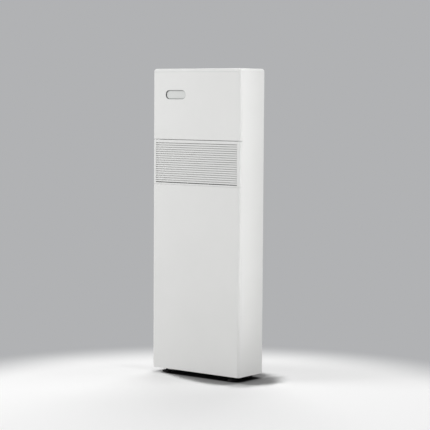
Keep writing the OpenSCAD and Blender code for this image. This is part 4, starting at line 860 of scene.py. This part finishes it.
def make_display():
    """The window, a pill with an eased front edge, in its black carrier, a stepped pill ring."""
    levels = [(WINDOW_LEDGE - e, y) for e, y in eased(WINDOW_EASE, WINDOW_LOW[1])]
    levels.append((WINDOW_LEDGE, WINDOW_HIGH[1]))
    rings = np.stack([lift(pill_loop(e), (0, 2), y) for e, y in levels])
    make("window", tube(rings), "root", "window_tint", "display_window")
    low, high = box("display_carrier")
    play = 0.3 * MM
    outer = (high[2] - low[2]) / 2 - PILL_R
    seat, edge = WINDOW_LEDGE + play, WINDOW_GAP
    ledge = WINDOW_LOW[1] - play
    edges = [0.3 * MM, 0.3 * MM, 0.4 * MM, 0.3 * MM, 0, 0.2 * MM]
    profile = rounded([(edge, low[1]), (outer, low[1]), (outer, high[1]), (seat, high[1]),
                       (seat, ledge), (edge, ledge)], edges)
    make("carrier", [hole_walls(pill_loop, [*profile, profile[0]], (0, 2))], "root",
         "dark_plastic", "display_carrier")


# Feet, back and small pieces


def flutes(angle, count, depth):
    """Even flutes round an axis: a change of the radius from -depth to 0, by the angle's cosine."""
    return -depth * (0.5 + 0.5 * np.cos(count * angle))


def make_feet():
    """Levelling feet: a turned pad with a fluted edge and a stud. The flutes draw the radius in by
    a cosine of the angle, the thread by a triangle wave of height / pitch - angle / 360."""
    pad_h, neck_h, neck_r, stud_r = 8 * MM, 10 * MM, 9 * MM, 5 * MM
    edges = [0, 1.5 * MM, 1.8 * MM, 1.5 * MM, 0]
    flute_count, flute_depth, flute_half = 40, 0.35 * MM, 2.4 * MM
    flank_rows, flank_edge = 5, 2 * MM
    pitch, thread_depth, runout = 1.5 * MM, 0.55 * MM, 1 * MM
    stud_rows, tip_in, tip_down = 160, 0.8 * MM, 0.5 * MM
    for node in ("foot_front_left", "foot_front_right", "foot_back_left", "foot_back_right"):
        low, high = box(node)
        pad_r = (high[0] - low[0]) / 2
        pad = rounded([(0, 0), (pad_r, 0), (pad_r, pad_h), (neck_r, pad_h), (stud_r, neck_h)],
                      edges)
        rise = np.linspace(flank_edge, pad_h - flank_edge, flank_rows)
        flank = np.stack([np.full(flank_rows, pad_r), rise], -1)
        split = np.isclose(pad[:, 0], pad_r).nonzero()[0][0] + 1
        rise = np.linspace(neck_h + 0.3 * MM, high[2] - tip_down, stud_rows)
        stud = np.stack([np.full(stud_rows, stud_r), rise], -1)
        tip = np.array([(stud_r - tip_in, high[2]), (0, high[2])])

        def cut(r, h, a, top=high[2]):
            """Flutes on the pad's flank and thread on the stud, as changes of the radius."""
            flute = flutes(a, flute_count, flute_depth) * (np.abs(h - pad_h / 2) < flute_half)
            saw = np.abs(((h / pitch - a / (2 * np.pi)) % 1) * 2 - 1)
            thread = -thread_depth * saw * ((h > neck_h + runout) & (h < top - runout))
            return np.where(r > 2 * stud_r, flute, np.where(r > 0, thread, 0))

        profile = np.vstack([pad[:split], flank, pad[split:], stud, tip])
        centre = ((low[0] + high[0]) / 2, (low[1] + high[1]) / 2, 0)
        make(node + "_turned", [turned(profile, centre, 2, 96, cut)], node, "black_rubber", node)


def make_duct_collars():
    """Duct collars: a turned tube with a flange against the rear panel."""
    bore, out, thick = 81 * MM, 84 * MM, 2 * MM
    edges = [0.5 * MM, 0.5 * MM, 0.3 * MM, 0.3 * MM, 1.2 * MM, 1.2 * MM]
    for node in ("upper_duct_collar", "lower_duct_collar"):
        low, high = box(node)
        flange_r = (high[0] - low[0]) / 2
        profile = rounded([(bore, low[1]), (out, low[1]), (out, high[1] - thick),
                           (flange_r, high[1] - thick), (flange_r, high[1]), (bore, high[1])],
                          edges, 5)
        centre = (0, 0, (low[2] + high[2]) / 2)
        make(node + "_turned", [turned(profile, centre, 1, 128)], "root", "dark_plastic", node)


def make_cover_screws():
    """Countersunk screws with a cross recess. The head's face sinks by 1 mm times the cross, which
    falls from 1 to 0 as the lesser of |x| and |z| goes from 0.6 to 1.6 times half its width, and
    again over the last 0.4 mm of its reach."""
    low, high = box("cover_screws")
    cross_half, cross_r, cross_end, sink, dome = 0.35 * MM, 2.1 * MM, 0.4 * MM, 1 * MM, 0.15 * MM
    head_rings, segments = 14, 48
    reach = np.linspace(0, SCREW_R, head_rings)
    a = np.linspace(0, 2 * np.pi, segments, endpoint=False)
    r, a = np.meshgrid(reach, a, indexing="ij")
    u, v = r * np.cos(a), r * np.sin(a)
    arm = np.clip(1.6 - np.minimum(np.abs(u), np.abs(v)) / cross_half, 0, 1)
    inside = np.clip((cross_r - r) / cross_end, 0, 1)
    crown = high[1] - dome * (reach[:, None] / SCREW_R) ** 2
    face = np.stack([u, crown - sink * arm * inside, v], -1)
    tip = low[1] - high[1]
    under = [(SCREW_R, -0.3 * MM), (SHANK_R, -1.8 * MM), (SHANK_R, tip), (0, tip)]
    rings = [np.stack([k * np.cos(a[0]), np.full(segments, high[1] + h), k * np.sin(a[0])], -1)
             for k, h in under]
    one = np.concatenate([face, np.stack(rings)])
    screw_x = high[0] - SCREW_R
    patches = [grid(one + [side * screw_x, 0, z], wrap_columns=True)
               for side in (-1, 1) for z in screw_heights()]
    make("screws", patches, "root", "motor_steel", "cover_screws")


def make_fittings():
    """The cable gland, turned with a fluted nut, and the drain spigot with its nut."""
    low, high = box("cable_gland")
    centre = ((low[0] + high[0]) / 2, 0, (low[2] + high[2]) / 2)
    wide, body_r, bore, rim = (high[0] - low[0]) / 2, 8 * MM, 5 * MM, 2 * MM
    nut_r, nut_back = wide - 1 * MM, low[1] + 6 * MM
    edges = [0.4 * MM, 0.5 * MM, 0.5 * MM, 0.2 * MM, 0.2 * MM, 0.2 * MM, 1 * MM, 1 * MM]
    profile = rounded([(bore, low[1]), (nut_r, low[1]), (nut_r, nut_back), (body_r, nut_back),
                       (body_r, high[1] - rim), (wide, high[1] - rim), (wide, high[1]),
                       (bore, high[1])], edges)

    def fluted(r, h, a):
        """Flutes on the nut and the rim, as changes of the radius."""
        return np.where(r > nut_r - 0.1 * MM, flutes(a, 18, 0.5 * MM), 0)

    make("gland", [turned(profile, centre, 1, 96, fluted)], "root", "dark_plastic", "cable_gland")
    low, high = box("drain_spigot")
    centre = ((low[0] + high[0]) / 2, (low[1] + high[1]) / 2, 0)
    wide, pipe_r, bore = (high[0] - low[0]) / 2, 8 * MM, 6 * MM
    neck_r, rim_low = pipe_r - 0.5 * MM, high[2] - 2 * MM
    nut_top = box("base_tray")[0][2] - 0.3 * MM
    nut_low = nut_top - 3 * MM
    edges = [0.4 * MM, 0.8 * MM, 0.2 * MM, 0.4 * MM, 0.4 * MM, 0.2 * MM, 0.2 * MM, 0.3 * MM,
             0.5 * MM, 0.4 * MM]
    profile = rounded([(bore, low[2]), (pipe_r, low[2]), (pipe_r, nut_low), (wide, nut_low),
                       (wide, nut_top), (neck_r, nut_top), (neck_r, rim_low), (wide, rim_low),
                       (wide, high[2]), (bore, high[2])], edges)
    make("spigot", [turned(profile, centre, 2, 64)], "root", "dark_plastic", "drain_spigot")


def dress_cad_nodes():
    """Every CAD node gets the material of its slot in the record."""
    for part in frame["record"]["subparts"]:
        mesh = frame["nodes"][part["node"]].data
        mesh.materials.clear()
        mesh.materials.append(MATERIALS[part["material_slot"]])


# Floor, light and camera

BACKDROP = (0.44, 0.445, 0.455, 1)

# The floor's colour for rays that show it, and for the light it throws back.
FLOOR_PALE = (0.9, 0.9, 0.9, 1)
FLOOR_GREY = (0.45, 0.45, 0.45, 1)

# The floor is pale within the first radius of its centre and like the backdrop beyond the second.
FLOOR_CENTRE = (0.4, -0.5)
FLOOR_FADE = (1.0, 1.55)

# Painted shadow round the object and painted shade in the gap under it, both darkening the floor's
# colour: reach, open sky where the shade is full and where it ends, weight of the lean from left to
# right, and the shade's tone.
PAINTED_SHADES = ((0.3, 0.745, 0.795, 0.333, 0.22), (0.05, 0.35, 0.8, 0, 0.003))
SKY_SAMPLES = 32

# The painted shadow's lean, which makes it reach further on the right: its values at both ends of a
# span of X, and the span over which the painted shades set in, which leaves the floor under the
# object's left end open.
PAINTED_SHADOW_LEAN, PAINTED_SHADOW_LEAN_X = (1.0, -0.25), (-0.3, 0.3)
PAINTED_SHADOW_SET_IN_X = (-0.215, -0.165)


def backdrop_ray(tree):
    """1 for rays that show the background: camera, mirror and transmission rays."""
    rays = add_node(tree, "LightPath").outputs
    pair = [(0, rays["Is Camera Ray"]), (1, rays["Is Glossy Ray"])]
    pair = [(0, add_node(tree, "Math", pair, operation="MAXIMUM").outputs[0]),
            (1, rays["Is Transmission Ray"])]
    return add_node(tree, "Math", pair, operation="MAXIMUM").outputs[0]


def make_floor():
    """A plain floor, pale near the object and grey like the backdrop further off. Its colour carries
    a painted shadow where the object stands close over it, and painted near-black shade in the gap
    under it."""
    half, drop = 60.0, 0.0002
    corners = [(x * half, y * half, -drop) for x, y in ((-1, -1), (1, -1), (1, 1), (-1, 1))]
    mesh = bpy.data.meshes.new("floor")
    mesh.from_pydata(corners, [], [(0, 1, 2, 3)])
    floor = bpy.data.objects.new("floor", mesh)
    bpy.context.scene.collection.objects.link(floor)
    floor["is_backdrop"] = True
    paint = Finish("floor_paint", Roughness=0.9, Specular_IOR_Level=0.1)
    smooth = {"interpolation_type": "SMOOTHSTEP"}
    shown = backdrop_ray(paint.tree)
    across = paint.node("SeparateXYZ", [(0, paint.place)]).outputs["X"]
    # Painted shadow's lean along X, and where the painted shades start.
    painted_shadow_lean = paint.ranged(across, *PAINTED_SHADOW_LEAN, *PAINTED_SHADOW_LEAN_X)
    inward = paint.ranged(across, 0, 1, *PAINTED_SHADOW_SET_IN_X)
    colour = paint.node("MixRGB", [("Fac", shown), ("Color1", FLOOR_GREY), ("Color2", FLOOR_PALE)])
    # Each pass mixes a painted shade into the floor's colour where the floor is closed in.
    for reach, dark_at, pale_at, push, tone in PAINTED_SHADES:
        sky = paint.node("AmbientOcclusion", [("Distance", reach)], samples=SKY_SAMPLES)
        total = paint.math("ADD", sky.outputs["AO"], paint.math("MULTIPLY", painted_shadow_lean, push))
        near = paint.ranged(total, 1.0, 0.0, dark_at, pale_at, **smooth)
        closed = paint.math("MULTIPLY", near, inward)
        colour = paint.node("MixRGB", [("Fac", closed), ("Color1", colour.outputs[0]),
                                       ("Color2", (tone, tone, tone, 1))])
    paint.tree.links.new(colour.outputs[0], paint.shader.inputs["Base Color"])
    off_centre = (-FLOOR_CENTRE[0], -FLOOR_CENTRE[1], 0)
    flat = paint.node("Mapping", [("Vector", paint.place), ("Location", off_centre),
                                  ("Scale", (1, 1, 0))]).outputs[0]
    away = paint.node("VectorMath", [(0, flat)], operation="LENGTH").outputs["Value"]
    far = paint.math("MULTIPLY", paint.ranged(away, 0, 1, *FLOOR_FADE, **smooth), shown)
    glow = paint.node("Emission", [("Color", BACKDROP), ("Strength", 1.0)])
    mixed = paint.node("MixShader", [(0, far), (1, paint.shader.outputs[0]), (2, glow.outputs[0])])
    surface = paint.tree.nodes["Material Output"].inputs["Surface"]
    paint.tree.links.new(mixed.outputs[0], surface)
    mesh.materials.append(paint.material)


def make_world(strength):
    """Even light from all round, and the backdrop's grey for rays that show it."""
    world = bpy.data.worlds.new("studio")
    bpy.context.scene.world = world
    world.use_nodes = True
    tree = world.node_tree
    tree.nodes.clear()
    light = add_node(tree, "Background", [("Color", (1, 1, 1, 1)), ("Strength", strength)])
    shown = add_node(tree, "Background", [("Color", BACKDROP)])
    both = [(0, backdrop_ray(tree)), (1, light.outputs[0]), (2, shown.outputs[0])]
    mixed = add_node(tree, "MixShader", both)
    add_node(tree, "OutputWorld", [("Surface", mixed.outputs[0])])


def soft_box(name, place, aim, size, power, spread=180):
    """A rectangular lamp of the given width and height that points at its aim, and whose light
    opens by the spread in degrees."""
    data = bpy.data.lights.new(name, "AREA")
    data.shape = "RECTANGLE"
    data.size, data.size_y = size
    data.energy = power
    data.spread = np.radians(spread)
    lamp = bpy.data.objects.new(name, data)
    lamp.visible_camera = False
    lamp.location = place
    lamp.rotation_euler = (Vector(aim) - Vector(place)).to_track_quat("-Z", "Y").to_euler()
    bpy.context.scene.collection.objects.link(lamp)


def make_camera():
    """The photograph's view: the camera's axes from its heading, its downward pitch and its roll."""
    picture_px, focal_px, sensor = 430, 1591.88, 36.0
    place = (4.45305, -5.71062, 1.26544)
    heading, pitch, roll = np.radians([37.692, 4.194, 0.353])
    forward = np.array([-np.sin(heading) * np.cos(pitch), np.cos(heading) * np.cos(pitch),
                        -np.sin(pitch)])
    level = unit(np.cross(forward, [0, 0, 1]))
    up = np.cross(level, forward)
    right = np.cos(roll) * level + np.sin(roll) * up
    tilted_up = -np.sin(roll) * level + np.cos(roll) * up
    data = bpy.data.cameras.new("camera")
    data.sensor_width = sensor
    data.lens = focal_px / picture_px * sensor
    camera = bpy.data.objects.new("camera", data)
    turn = Matrix(np.stack([right, tilted_up, -forward], axis=1).tolist()).to_4x4()
    camera.matrix_world = Matrix.Translation(place) @ turn
    bpy.context.scene.collection.objects.link(camera)
    bpy.context.scene.camera = camera


dress_cad_nodes()
make_upper_front_cover()
make_lower_front_cover()
make_side_covers()
make_top_cap()
make_outlet_flap()
make_intake_grille()
make_display()
make_feet()
make_duct_collars()
make_cover_screws()
make_fittings()
make_floor()
make_world(0.42)
soft_box("left_high", (-3.2, -3.0, 2.6), (0, 0, 0.9), (2.2, 2.2), 88)
soft_box("left_low", (-2.6, -3.6, 1.2), (0, 0, 0.9), (2.0, 2.0), 30)
soft_box("front_right", (2.4, -3.2, 2.4), (0, 0, 0.9), (1.6, 2.0), 16)
soft_box("right_high", (3.4, -0.6, 2.8), (0, 0, 0.9), (1.6, 2.0), 18)
soft_box("right_back", (2.8, 1.7, 3.0), (0, 0, 0.9), (1.6, 2.0), 32)
soft_box("right_near", (0.55, -0.12, 0.96), (0.25, -0.09, 0.96), (0.08, 1.6), 0.75, 140)
soft_box("behind_left", (-1.0, 1.6, 3.4), (0, 0, 0.8), (1.6, 1.6), 42)
make_camera()
bpy.context.scene.view_settings.view_transform = "Standard"
